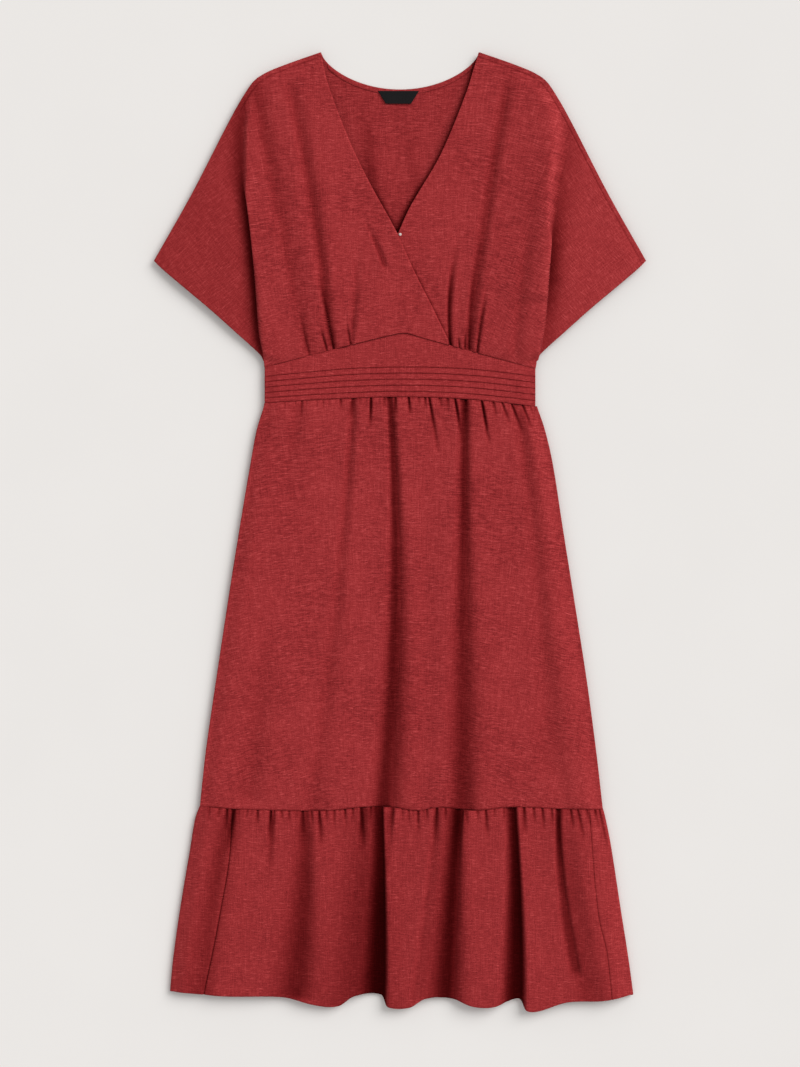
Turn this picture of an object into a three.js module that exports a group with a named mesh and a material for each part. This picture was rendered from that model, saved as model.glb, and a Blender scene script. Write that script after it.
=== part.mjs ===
import * as THREE from 'three';

// A wrap dress laid flat on its back: kimono sleeves, tucked midriff, gathered skirt and hem ruffle.
// Millimetres. +X is the viewer's right, +Y runs to the neck and +Z is up from the surface it lies on.

// Driving sizes
const NECK_Y = 610; // neck points, half of the whole length above the middle
const NECK_HALF = 100.5; // half the width between the neck points
const NECK_DROP = 46; // depth of the back neckline
const NECK_ROUND = 0.7; // power that rounds the back neckline
const WAIST_HALF = 172; // half the flat width at the midriff
const CLOTH = 1.4; // wall thickness
const GAP = 0.3; // between sewn edges and between layers that touch

// Heights of the outer face over the surface
const BACK_Z = CLOTH; // back panels, flat on the surface
const FRONT_EDGE_Z = 8.5; // fronts at a side seam
const BACK_EDGE_Z = FRONT_EDGE_Z - CLOTH - GAP; // back panels there, turned up to the front
const TURN_UP = 18; // width of that turn
const FRONT_LOW_Z = BACK_Z + GAP + CLOTH; // the back's face with a front lying on it
const FOLD_FLOOR_Z = FRONT_LOW_Z + 0.2; // the lowest that a fold of a front sinks
const EDGE_FLAT = 4; // strip along a side seam that stays flat
const EDGE_ROLL = 22; // width over which a front rises from its side seam
const UNDERARM_EASE = 1.5; // how fast that roll dies out above the underarm
const BODICE_Z = 10;
const MIDRIFF_Z = 10.5;
const TUCK_RISE = 1.3; // step of each pintuck
const SKIRT_Z = 12.5;
const RUFFLE_Z = 13;
const WRAP_LIFT = 2; // the upper front over the lower one
const WRAP_RAMP = 14; // width over which it climbs
const SEAM_DIP = 1.4; // cloth sinks a little into a seam
const DIP_REACH = 12;

// Turns lines of numbers into rows with named columns.
function table(columns, ...lines) {
  const names = columns.split(' ');
  return lines.map((line) => Object.fromEntries(names.map((name, i) => [name, line[i]])));
}

// Outline of a sleeve on either side: distance out from the centre line at each height.
const OVERARM = table('y out',
  [NECK_Y, NECK_HALF + 1], [597, 139], [586, 167], [576.5, 183], [561.5, 195],
  [527, 215], [430, 265], [345, 313]);
const CUFF = table('y out',
  [345, 313], [339, 307.5], [319.5, 285], [286, 245], [253, 208], [226, 178.5], [217, 173]);

// Side lines of the skirt, then of the ruffle below it.
const SKIRT_SIDES = table('y left right',
  [172, -WAIST_HALF, WAIST_HALF], [160, -173, 174], [130, -182, 184], [87, -190, 194], [4, -204, 207],
  [-84, -218, 221], [-190, -234, 237.5], [-280, -247, 249.5], [-354, -255, 258]);
const RUFFLE_SIDES = table('y left right',
  [-346, -254, 257], [-365, -261, 262], [-400, -267, 269], [-484, -281, 282], [-541, -289, 291],
  [-592, -294, 298]);

// Neck and wrap edges. The lower front's edge runs on, hidden, under the upper front.
const UPPER_WRAP = table('y x',
  [NECK_Y, -NECK_HALF], [571, -92], [495, -63], [445, -39], [381, -4], [332, 18], [288, 40], [232, 67.5]);
const LOWER_WRAP = table('y x',
  [NECK_Y, NECK_HALF], [592, 95], [557, 84], [480, 52], [413, 13], [378, -3], [332, -25], [288, -45],
  [232, -70]);

// Cross seams and hem: height at each place across.
const MIDRIFF_PEAK_X = 8;
const MIDRIFF_TOP = table('x y',
  [-173, 209], [-94, 229.5], [-10, 250.5], [MIDRIFF_PEAK_X, 252.5], [26, 247.5], [89, 230], [173, 207]);
const FIRST_TUCK = table('x y',
  [-173, 197.5], [-118, 203], [-57, 208], [28, 209.5], [101, 206], [173, 197.5]);
const WAIST_SEAM = table('x y', [-175, 163.5], [-60, 169.5], [4, 171], [80, 168.5], [175, 159]);
const TIER_SEAM = table('x y',
  [-256, -350], [-191, -354], [-89, -355], [-48, -350.5], [-15, -350.5], [23, -355], [48, -351],
  [98, -355], [143, -350.5], [202, -353], [258, -354]);
const HEM = table('x y',
  [-294, -585], [-222, -591], [-150, -592.5], [-103, -603.5], [-78, -603.5], [-58, -591], [-24, -590],
  [-14, -604.5], [12, -605.5], [32, -594.5], [66, -594.5], [93, -604], [118, -604.5], [146, -595],
  [154, -596], [163, -609], [176, -610], [212, -599], [256, -597], [298, -589]);
const BACK_HEM_Y = -586;
const TUCKS = 5;

// Long folds. Each line runs from x at top, by way of mid, to endX at end. Left and right are its
// half widths, depth is how far it sinks (a minus sign makes a ridge), crest is the swell beside it,
// and start and finish are its strength at each end.
const FOLD_COLUMNS = 'x top mid endX end left right depth crest start finish';
const BODICE_FOLDS = table(FOLD_COLUMNS,
  [-196, 552, -198, -177, 222, 3.5, 40, -8, 0, 0.2, 1], // the body lies over the left sleeve
  [-176, 530, -152, -117, 229, 9, 10, 3, 0.5, 0.4, 1],
  [-126, 508, -108, -86, 235, 7, 9, 4, 1.5, 0.2, 1],
  [-98, 262, -97, -96, 229, 2.5, 2.5, 3.5, 0.6, 0, 1],
  [-55, 355, -58, -62, 236, 4, 4, 3, 0.8, 0, 1],
  [-43, 390, -31, -22, 340, 5, 8, 2.5, 1, 0.2, 0],
  [68, 355, 66, 63, 238, 4, 5, 4.5, 1.5, 0, 1],
  [131, 521, 107, 87, 232, 7, 9, 4, 1.5, 0.2, 1],
  [84, 262, 83, 82, 229, 2.5, 2.5, 3.5, 0.8, 0, 1],
  [112, 312, 103, 97, 227, 3.5, 4.5, 4, 1, 0, 1],
  [163, 414, 156, 147, 225, 9, 12, 2.5, 1, 0, 0.8],
  [202, 552, 196, 186, 300, 24, 13, -4, 0, 0, 0.6], // soft ridge over the right armhole
  [214, 486, 207, 189, 300, 9, 14, 3, 0.5, 0, 1]);
const SKIRT_FOLDS = table(FOLD_COLUMNS,
  [-7, 172, -4, -13, -356, 12, 15, 6, 2, 0.7, 1],
  [87, 172, 82, 79, -356, 12, 14, 6, 2, 0.9, 1],
  [-59, 170, -81, -112, -352, 9, 12, 3, 1.5, 0.9, 0.5],
  [148, 165, 178, 188, -300, 12, 14, 3, 1.5, 0.9, 0.4],
  [-130, 156, -142, -154, -20, 11, 14, 2, 1, 0.9, 0]);
const RUFFLE_FOLDS = table(FOLD_COLUMNS,
  [-125, -350, -122, -133, -592, 17, 18, 5, 2, 1, 0.7],
  [-14, -350, -25, -27, -605, 22, 8, 7, 2.5, 0.8, 1],
  [-8, -350, -8, -9, -455, 3, 3, 3, 1, 1, 0],
  [73, -350, 68, 61, -605, 15, 17, 6, 2.5, 1, 1],
  [152, -350, 149, 150, -610, 15, 7, 7, 2.5, 0.9, 1],
  [204, -350, 213, 226, -560, 12, 13, 4, 1.5, 1, 0.3],
  [-205, -350, -224, -246, -592, 6, 7, 2, 1, 0.6, 0.4]);
const BACK_FOLDS = table(FOLD_COLUMNS,
  [-33, 545, -30, -12, 400, 8, 22, -3, 0, 0, 0.2],
  [14, 515, 24, 34, 440, 18, 20, -2, 0, 0, 0]);
const FOLD_SETTLES = 0.6; // share of its run after which a fold has its finish strength
const FOLD_FAINT = 0.08; // a fold weaker than this gets no points of its own

// Gathers that start at a seam: how far each one runs down, leans sideways and sinks.
const GATHER_COLUMNS = 'x length lean depth';
const WAIST_GATHERS = table(GATHER_COLUMNS,
  [-125, 22, -1, 2], [-98, 12, 0, 1.5], [-76, 12, 0, 2], [-37, 34, -1, 3], [-21, 14, 0, 2.5],
  [11, 20, 3, 3], [24, 12, 0, 1.5], [32, 14, 0, 2.5], [40, 80, 15, 3.5], [50, 12, 1, 2],
  [60, 12, 1, 2], [71, 44, 8, 3], [104, 52, 9, 3.5], [114, 14, 3, 2], [129, 26, 15, 3],
  [139, 16, 6, 2], [156, 34, 12, 3], [168, 18, 4, 2]);
const RUFFLE_GATHERS = table(GATHER_COLUMNS,
  [-242, 18, -2, 2], [-227, 22, -3, 2.5], [-216, 16, -1, 2], [-209, 52, -9, 3], [-192, 18, -3, 2.5],
  [-181, 16, -1, 2], [-162, 74, -7, 3.5], [-151, 18, 0, 2], [-141, 16, 0, 2], [-113, 18, 2, 2],
  [-105, 46, 0, 3], [-94, 18, 0, 2], [-84, 16, 0, 2], [-72, 20, 1, 2.5], [-60, 14, 0, 1.5],
  [-47, 52, 3, 3.5], [-37, 16, 0, 2], [3, 16, 0, 2], [11, 18, 0, 2], [21, 24, 0, 2.5],
  [34, 16, 0, 2], [47, 40, -1, 3], [57, 16, 0, 2], [85, 18, 1, 2.5], [99, 16, 0, 2],
  [109, 22, 2, 2.5], [120, 14, 0, 1.5], [132, 18, 0, 2], [161, 26, 1, 3], [176, 18, 1, 2],
  [191, 28, 1, 3], [217, 18, 2, 2], [228, 44, 9, 3], [241, 18, 3, 2], [254, 22, 5, 2.5]);
const GATHER_HALF = 2.3;
const GATHER_FAINT = 0.85; // share of its run below which a gather gets no points of its own
const GATHER_PUFF = 2.4; // swell of the cloth between gathers
const PUFF_START = 4; // it swells over this length and dies out over the next one
const PUFF_REACH = 34;

const RUFFLE_SEAM = { // side seams of the ruffle, which lie on its front
  left: table('y x', [-346, -199], [-580, -239], [-592, -241]),
  right: table('y x', [-346, 240], [-400, 244], [-592, 267]),
};

const { lerp, clamp, smoothstep } = THREE.MathUtils;
const ROUNDING = 1e-6;

// Smooth curve through a table: the value of one column where another has a given value.
function column(rows, key, value, round = true) {
  const known = rows.map((row) => row[key]);
  const rising = known[known.length - 1] > known[0];
  const slope = (a, b) => (rows[b][value] - rows[a][value]) / (known[b] - known[a]);
  const last = rows.length - 1;
  const tangent = (i) => slope(Math.max(i - 1, 0), Math.min(i + 1, last));
  return (at) => {
    let i = 0;
    while (i < last - 1 && (rising ? at > known[i + 1] : at < known[i + 1])) i += 1;
    const span = known[i + 1] - known[i];
    const t = clamp((at - known[i]) / span, 0, 1);
    const bend = round ? t * (1 - t) * span : 0;
    const straight = lerp(rows[i][value], rows[i + 1][value], t);
    const chord = slope(i, i + 1);
    return straight + bend * ((tangent(i) - chord) * (1 - t) - (tangent(i + 1) - chord) * t);
  };
}

const overarmOut = column(OVERARM, 'y', 'out');
const cuffOut = column(CUFF, 'y', 'out');
const skirtLeft = column(SKIRT_SIDES, 'y', 'left');
const skirtRight = column(SKIRT_SIDES, 'y', 'right');
const ruffleLeft = column(RUFFLE_SIDES, 'y', 'left');
const ruffleRight = column(RUFFLE_SIDES, 'y', 'right');
const upperWrapX = column(UPPER_WRAP, 'y', 'x');
const lowerWrapX = column(LOWER_WRAP, 'y', 'x');
const firstTuckY = column(FIRST_TUCK, 'x', 'y');
const hemY = column(HEM, 'x', 'y');
const ruffleSeamLeft = column(RUFFLE_SEAM.left, 'y', 'x');
const ruffleSeamRight = column(RUFFLE_SEAM.right, 'y', 'x');

// A cross seam is straight between knots that the panels on both of its sides share.
function seam(rows, knots) {
  const smooth = column(rows, 'x', 'y');
  return { knots, y: column(knots.map((x) => ({ x, y: smooth(x) })), 'x', 'y', false) };
}

function evenly(from, to, pieces) {
  return Array.from({ length: pieces + 1 }, (_, i) => lerp(from, to, i / pieces));
}

const MIDRIFF_SEAM = seam(MIDRIFF_TOP, [
  ...evenly(-WAIST_HALF, MIDRIFF_PEAK_X, 8), ...evenly(MIDRIFF_PEAK_X, WAIST_HALF, 8).slice(1),
]);
const SKIRT_SEAM = seam(WAIST_SEAM, evenly(-175, 175, 14));
const RUFFLE_TOP = seam(TIER_SEAM, evenly(-258, 258, 24));
const midriffTopY = MIDRIFF_SEAM.y;
const waistY = SKIRT_SEAM.y;
const tierY = RUFFLE_TOP.y;

const UNDERARM_Y = CUFF[CUFF.length - 1].y;
const CORNER_Y = CUFF[0].y;

// How far out the bodice reaches at a height: overarm line, then cuff, then side seam.
function bodiceOut(y) {
  if (y >= CORNER_Y) return overarmOut(y);
  return y >= UNDERARM_Y ? cuffOut(y) : WAIST_HALF;
}

function neckY(x) {
  const across = Math.min(Math.abs(x) / NECK_HALF, 1);
  return NECK_Y - NECK_DROP * (1 - across * across) ** NECK_ROUND;
}

// Folds

function foldRun(fold, y) {
  return (fold.top - y) / (fold.top - fold.end);
}

function foldX(fold, y) {
  const t = foldRun(fold, y);
  const bow = fold.mid - (fold.x + fold.endX) / 2;
  return lerp(fold.x, fold.endX, t) + 4 * t * (1 - t) * bow;
}

function foldStrength(fold, y) {
  const t = foldRun(fold, y);
  return t < 0 || t > 1 ? 0 : lerp(fold.start, fold.finish, smoothstep(t, 0, FOLD_SETTLES));
}

function foldHeight(fold, x, y) {
  const strength = foldStrength(fold, y);
  if (strength === 0) return 0;
  const offset = x - foldX(fold, y);
  const half = offset < 0 ? fold.left : fold.right;
  const dip = Math.exp(-((offset / half) ** 2));
  const swell = Math.exp(-((offset / (3 * half)) ** 2));
  return strength * (fold.crest * swell - (fold.crest + fold.depth) * dip);
}

function foldsHeight(folds, x, y) {
  return folds.reduce((sum, fold) => sum + foldHeight(fold, x, y), 0);
}

// Gathers hang from a seam, so they go by the distance below it.
function gatherX(gather, below) {
  return gather.x + gather.lean * (below / gather.length);
}

function gathersHeight(gathers, x, below) {
  return gathers.reduce((sum, gather) => {
    const fade = clamp(1 - below / gather.length, 0, 1);
    const offset = (x - gatherX(gather, below)) / GATHER_HALF;
    return sum - gather.depth * fade * Math.exp(-(offset ** 2));
  }, 0);
}

// Outer heights of the cloth

// A front comes up from its flat side seam to its height inside.
function rolled(inside, distance) {
  const share = clamp((distance - EDGE_FLAT) / (EDGE_ROLL - EDGE_FLAT), 0, 1);
  return lerp(FRONT_EDGE_Z, inside, Math.sin(share * Math.PI / 2));
}

// Distance to the overarm line, which is where a sleeve's two layers are joined.
function overarmDistance(x, y) {
  const out = Math.abs(x);
  return OVERARM.slice(1).reduce((least, point, i) => {
    const from = new THREE.Vector2(OVERARM[i].out, OVERARM[i].y);
    const along = new THREE.Vector2(point.out, point.y).sub(from);
    const reach = new THREE.Vector2(out, y).sub(from);
    const t = clamp(reach.dot(along) / along.lengthSq(), 0, 1);
    return Math.min(least, reach.sub(along.multiplyScalar(t)).length());
  }, Infinity);
}

// Distance to a joined edge of the bodice: the overarm line, or the side seam below the underarm.
function bodiceEdgeDistance(x, y) {
  const inward = Math.max(WAIST_HALF - Math.abs(x), 0);
  return Math.min(overarmDistance(x, y), inward + UNDERARM_EASE * Math.max(y - UNDERARM_Y, 0));
}

function seamDip(distance) {
  return SEAM_DIP * Math.exp(-distance / DIP_REACH);
}

function gatherPuff(below) {
  return GATHER_PUFF * Math.exp(-below / PUFF_REACH) * (1 - Math.exp(-below / PUFF_START));
}

function bodiceFrontZ(x, y) {
  const inside = BODICE_Z + foldsHeight(BODICE_FOLDS, x, y) - seamDip(Math.max(y - midriffTopY(x), 0));
  return rolled(Math.max(inside, FOLD_FLOOR_Z), bodiceEdgeDistance(x, y));
}

function upperFrontZ(x, y) {
  const start = lowerWrapX(y) - WRAP_RAMP;
  return bodiceFrontZ(x, y) + WRAP_LIFT * smoothstep(x, start - 4, start + WRAP_RAMP - 4);
}

function lowerFrontZ(x, y) {
  const hidden = smoothstep(upperWrapX(y) - x, 1, WRAP_RAMP);
  return lerp(bodiceFrontZ(x, y), FRONT_LOW_Z, hidden);
}

function bodiceBackZ(x, y) {
  const turn = (BACK_EDGE_Z - BACK_Z) * clamp(1 - bodiceEdgeDistance(x, y) / TURN_UP, 0, 1);
  return BACK_Z + Math.max(turn, foldsHeight(BACK_FOLDS, x, y));
}

function midriffFrontZ(x, y) {
  const tuckSpan = (firstTuckY(x) - waistY(x)) / TUCKS;
  const tucks = (firstTuckY(x) - y) / tuckSpan;
  const rise = tucks < 0 ? smoothstep(tucks, -1, 0) : tucks - Math.floor(tucks + ROUNDING);
  const inside = MIDRIFF_Z + TUCK_RISE * rise - seamDip(midriffTopY(x) - y) / 2;
  return rolled(inside, WAIST_HALF - Math.abs(x));
}

function skirtFrontZ(x, y) {
  const below = Math.max(waistY(x) - y, 0);
  const above = Math.max(y - tierY(x), 0);
  const folds = foldsHeight(SKIRT_FOLDS, x, y) + gathersHeight(WAIST_GATHERS, x, below);
  const inside = SKIRT_Z + gatherPuff(below) + folds - seamDip(below) - seamDip(above);
  return rolled(Math.max(inside, FOLD_FLOOR_Z), Math.min(x - skirtLeft(y), skirtRight(y) - x));
}

function ruffleFrontZ(x, y) {
  const below = Math.max(tierY(x) - y, 0);
  const folds = foldsHeight(RUFFLE_FOLDS, x, y) + gathersHeight(RUFFLE_GATHERS, x, below);
  const inside = RUFFLE_Z + gatherPuff(below) + folds - seamDip(below);
  return rolled(Math.max(inside, FOLD_FLOOR_Z), Math.min(x - ruffleLeft(y), ruffleRight(y) - x));
}

// Rows of points across a panel

const EDGE_MARKS = [EDGE_FLAT, 10, EDGE_ROLL];
const FOLD_MARKS = [-2, -1, 0, 1, 2]; // in half widths of the fold
const GATHER_MARKS = [-1.6, 0, 1.6];
const CLOSEST = 1.3; // smallest step between points of a row
const FILL_STEP = 30; // widest step

// Places across one row: its ends, the folds and gathers that cross it, and fill between them. Edges
// say how much wider than straight across each side's roll is cut, or 0 where a side has none.
function across(row) {
  const { left, right, y, edges = [0, 0], knots = [], folds = [], step = FILL_STEP } = row;
  const { gathers = [], below = 0 } = row;
  const marks = [];
  EDGE_MARKS.forEach((mark) => {
    if (edges[0]) marks.push(left + mark * edges[0]);
    if (edges[1]) marks.push(right - mark * edges[1]);
  });
  folds.filter((fold) => foldStrength(fold, y) > FOLD_FAINT).forEach((fold) => {
    const half = (mark) => (mark < 0 ? fold.left : fold.right);
    FOLD_MARKS.forEach((mark) => marks.push(foldX(fold, y) + mark * half(mark)));
  });
  gathers.filter((gather) => below < GATHER_FAINT * gather.length).forEach((gather) => {
    GATHER_MARKS.forEach((mark) => marks.push(gatherX(gather, below) + mark * GATHER_HALF));
  });
  const fixed = [...knots.filter((x) => x > left + ROUNDING && x < right - ROUNDING), right];
  const places = [left];
  const isClear = (x) => x > left + CLOSEST && fixed.every((knot) => Math.abs(x - knot) > CLOSEST);
  const spare = marks.filter(isClear);
  [...fixed, ...spare.filter((x) => x < right)].sort((a, b) => a - b).forEach((x) => {
    const from = places[places.length - 1];
    if (!fixed.includes(x) && x - from < CLOSEST) return;
    const pieces = Math.ceil((x - from) / step);
    for (let i = 1; i < pieces; i += 1) places.push(lerp(from, x, i / pieces));
    places.push(x);
  });
  return places;
}

// Finds where a bent row meets a side line, from a first guess near it.
const MEET_STEPS = 6;
function meet(side, rowY, first) {
  let x = first;
  for (let i = 0; i < MEET_STEPS; i += 1) x = side(rowY(x));
  return x;
}

// Walls

// Joins rows of outer and inner points into one closed wall. Rows may differ in length.
function wall(rows) {
  const positions = [];
  const outer = [];
  let count = 0;
  rows.forEach((row) => row.forEach((point) => {
    point.index = count;
    count += 1;
    positions.push(...point.outer);
  }));
  rows.forEach((row) => row.forEach((point) => positions.push(...point.inner)));
  for (let r = 0; r < rows.length - 1; r += 1) {
    const [upper, lower] = [rows[r], rows[r + 1]];
    let [i, j] = [0, 0];
    while (i < upper.length - 1 || j < lower.length - 1) {
      const upperNext = i < upper.length - 1 ? upper[i].key + upper[i + 1].key : Infinity;
      const lowerNext = j < lower.length - 1 ? lower[j].key + lower[j + 1].key : Infinity;
      const next = upperNext < lowerNext ? upper[i + 1] : lower[j + 1];
      outer.push([upper[i].index, lower[j].index, next.index]);
      if (upperNext < lowerNext) i += 1;
      else j += 1;
    }
  }
  const edges = new Set(outer.flatMap(([a, b, c]) => [`${a} ${b}`, `${b} ${c}`, `${c} ${a}`]));
  const faces = outer.flatMap(([a, b, c]) => [a, b, c, a + count, c + count, b + count]);
  edges.forEach((edge) => {
    const [a, b] = edge.split(' ').map(Number);
    if (!edges.has(`${b} ${a}`)) faces.push(b, a, a + count, b, a + count, b + count);
  });
  const geometry = new THREE.BufferGeometry();
  geometry.setAttribute('position', new THREE.Float32BufferAttribute(positions, 3));
  geometry.setIndex(faces);
  geometry.computeVertexNormals();
  return geometry;
}

// A point of a panel that lies face up, with the wall below its outer face.
function lying(x, y, z, key) {
  return { key, outer: [x, y, z], inner: [x, y, z - CLOTH] };
}

// Materials and the group

const dress = new THREE.Group();
const CLOTH_COLOR = 0x9b3032;

function add(name, geometry, color = CLOTH_COLOR, roughness = 0.9) {
  const material = new THREE.MeshStandardMaterial({ color, roughness, metalness: 0 });
  const mesh = new THREE.Mesh(geometry, material);
  mesh.name = name;
  dress.add(mesh);
}

// Bodice fronts

const STRAIGHT_FROM = 270; // rows above this height are straight, and below it they follow the seam
const LOW_ROWS = [1, 0.62, 0.36, 0.12];
const HIGH_ROWS = [
  NECK_Y, 605, 597, 586, 576.5, 561.5, 545, 527, 503, 478, 454, 430, 405, 381, 363, CORNER_Y, 328, 309, 290,
];

// How much wider than straight across the overarm line's roll is cut by a row.
function overarmSlant(y) {
  if (y < CORNER_Y) return 0;
  const outPerY = (overarmOut(y + 1) - overarmOut(y - 1)) / 2;
  return Math.hypot(1, outPerY);
}

function frontRows(sideSign, wrapX, height) {
  const seamY = (x) => midriffTopY(x) + GAP;
  const straight = HIGH_ROWS.map((y) => () => y);
  const bent = LOW_ROWS.map((share) => (x) => lerp(seamY(x), STRAIGHT_FROM, share));
  return [...straight, ...bent, seamY].map((rowY) => {
    const side = meet((y) => sideSign * bodiceOut(y), rowY, sideSign * WAIST_HALF);
    const wrap = meet(wrapX, rowY, sideSign < 0 ? 60 : -60);
    const y = rowY(side);
    const [left, right] = sideSign < 0 ? [side, wrap] : [wrap, side];
    const slant = y > UNDERARM_Y ? overarmSlant(y) : 1;
    const edges = sideSign < 0 ? [slant, 0] : [0, slant];
    const knots = rowY === seamY ? MIDRIFF_SEAM.knots : [];
    const places = across({ left, right, y: (y + rowY(wrap)) / 2, edges, knots, folds: BODICE_FOLDS });
    return places.map((x) => lying(x, rowY(x), height(x, rowY(x)), x));
  });
}

add('bodice_front_right', wall(frontRows(-1, upperWrapX, upperFrontZ)));
add('bodice_front_left', wall(frontRows(1, lowerWrapX, lowerFrontZ)));

// Bodice back, in columns from one cuff to the other

const BACK_COLUMNS = [313, 307.5, 285, 265, 245, 215, 195, 183, 173.2, NECK_HALF, 97, 92, 84, 72];
const backPlaces = [...BACK_COLUMNS.map((out) => -out), ...BACK_COLUMNS, ...MIDRIFF_SEAM.knots];
backPlaces.sort((a, b) => a - b);
const overarmY = column(OVERARM, 'out', 'y');
const cuffY = column(CUFF.toReversed(), 'out', 'y');
const BACK_STEPS = [0, 0.2, 0.4, 0.55, 0.7, 0.85, 1];
const BACK_TURN_WIDTH = 1.5 * TURN_UP; // the turn along the slanting overarm line, straight up

const backRows = backPlaces.map((x) => {
  const out = Math.abs(x);
  const low = out > WAIST_HALF + 0.5 ? cuffY(out) : midriffTopY(x) + GAP;
  const high = out >= NECK_HALF ? overarmY(out) : neckY(x);
  const top = Math.max(high, low + 1);
  const turn = out >= NECK_HALF ? Math.min(BACK_TURN_WIDTH, (top - low) / 3) : 0;
  const ys = BACK_STEPS.map((share) => lerp(low, top - turn, share));
  if (turn) ys.push(top);
  return ys.map((y) => lying(x, y, bodiceBackZ(x, y), y));
});
add('bodice_back', wall(backRows));

// Neck facing, on the back's inside, and the bare label on it

const FACING_WIDTH = 6;
const FACING_END = 84; // short of where the back turns up to the shoulder seams
const FACING_STEPS = 24;
const FACING_WALL = 1;

const facingRows = Array.from({ length: FACING_STEPS + 1 }, (_, i) => {
  const x = FACING_END * Math.sin((i / FACING_STEPS - 0.5) * Math.PI);
  return [neckY(x) - FACING_WIDTH, neckY(x) - 0.4].map((y) => {
    const z = bodiceBackZ(x, y) + GAP;
    return { key: y, outer: [x, y, z + FACING_WALL], inner: [x, y, z] };
  });
});
add('neck_facing', wall(facingRows));

const LABEL = { x: -2, y: 562, topHalf: 26, bottomHalf: 16, height: 16, wall: 1 };
const labelShape = new THREE.Shape([
  new THREE.Vector2(LABEL.x - LABEL.bottomHalf, LABEL.y - LABEL.height),
  new THREE.Vector2(LABEL.x + LABEL.bottomHalf, LABEL.y - LABEL.height),
  new THREE.Vector2(LABEL.x + LABEL.topHalf, LABEL.y),
  new THREE.Vector2(LABEL.x - LABEL.topHalf, LABEL.y),
]);
const labelGeometry = new THREE.ExtrudeGeometry(labelShape, { depth: LABEL.wall, bevelEnabled: false });
labelGeometry.translate(0, 0, BACK_Z + FACING_WALL + 2 * GAP);
add('neck_label', labelGeometry, 0x17151a, 0.5);

// Midriff

const TUCK_TURN = 0.5; // half the run of each tuck's step
const MIDRIFF_STEP = 15;

function midriffRow(rowY, height, knots = []) {
  const halves = { left: -WAIST_HALF, right: WAIST_HALF, edges: [1, 1], knots, step: MIDRIFF_STEP };
  return across(halves).map((x) => lying(x, rowY(x), height(x, rowY(x)), x));
}

const midriffRows = [midriffRow(midriffTopY, midriffFrontZ, MIDRIFF_SEAM.knots)];
[0.25, 0.6].forEach((share) => midriffRows.push(midriffRow(
  (x) => lerp(midriffTopY(x), firstTuckY(x) + TUCK_TURN, share), midriffFrontZ)));
for (let tuck = 0; tuck < TUCKS; tuck += 1) {
  const tuckY = (x) => lerp(firstTuckY(x), waistY(x), tuck / TUCKS);
  const lowTuckZ = (x, y) => midriffFrontZ(x, y - TUCK_TURN);
  const highTuckZ = (x, y) => midriffFrontZ(x, y + TUCK_TURN);
  midriffRows.push(midriffRow((x) => tuckY(x) + TUCK_TURN, highTuckZ));
  midriffRows.push(midriffRow((x) => tuckY(x) - TUCK_TURN, lowTuckZ));
}
midriffRows.push(midriffRow((x) => waistY(x) + GAP, midriffFrontZ, SKIRT_SEAM.knots));
add('midriff_front', wall(midriffRows));

// A back panel: flat on the surface, turned up along both side seams.
function backPanel(rowYs, leftX, rightX, topKnots, lowKnots) {
  return rowYs.map((rowY, i) => {
    const left = meet(leftX, rowY, leftX(0));
    const right = meet(rightX, rowY, rightX(0));
    const knots = [...(i === 0 ? topKnots : []), ...(i === rowYs.length - 1 ? lowKnots : [])];
    const flat = knots.filter((x) => x > left + TURN_UP + 1 && x < right - TURN_UP - 1);
    return [left, left + TURN_UP, ...flat, right - TURN_UP, right].map((x) => {
      const z = x === left || x === right ? BACK_EDGE_Z : BACK_Z;
      return lying(x, rowY(x), z, (x - left) / (right - left));
    });
  });
}

const midriffEnds = [midriffTopY, (x) => waistY(x) + GAP];
const midriffBackRows = backPanel(
  midriffEnds, () => -WAIST_HALF, () => WAIST_HALF, MIDRIFF_SEAM.knots, SKIRT_SEAM.knots);
add('midriff_back', wall(midriffBackRows));

// Skirt

const SKIRT_ROWS = [
  0, 0.012, 0.028, 0.05, 0.08, 0.12, 0.17, 0.24, 0.32, 0.41, 0.5, 0.59, 0.68, 0.77, 0.86, 0.93, 0.975, 1,
];

function skirtKnots(share) {
  if (share === 0) return SKIRT_SEAM.knots;
  return share === 1 ? RUFFLE_TOP.knots : [];
}

const skirtRowY = (share) => (x) => lerp(waistY(x), tierY(x) + GAP, share);
const skirtRows = SKIRT_ROWS.map((share) => {
  const rowY = skirtRowY(share);
  const left = meet(skirtLeft, rowY, -200);
  const right = meet(skirtRight, rowY, 200);
  const below = waistY(0) - rowY(0);
  const places = across({
    left, right, y: rowY(0), edges: [1, 1], knots: skirtKnots(share), folds: SKIRT_FOLDS,
    gathers: WAIST_GATHERS, below,
  });
  return places.map((x) => lying(x, rowY(x), skirtFrontZ(x, rowY(x)), (x - left) / (right - left)));
});
add('skirt_front', wall(skirtRows));
const skirtBackRows = backPanel([0, 0.2, 0.5, 0.8, 1].map(skirtRowY), skirtLeft, skirtRight,
  SKIRT_SEAM.knots, RUFFLE_TOP.knots);
add('skirt_back', wall(skirtBackRows));

// Hem ruffle

const RUFFLE_ROWS = [0, 0.025, 0.06, 0.11, 0.18, 0.28, 0.4, 0.55, 0.7, 0.85, 1];
function ruffleKnots(share) {
  if (share === 0) return RUFFLE_TOP.knots;
  return share === 1 ? HEM.map((row) => row.x) : [];
}

const ruffleRowY = (share) => (x) => lerp(tierY(x), hemY(x), share);

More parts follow.
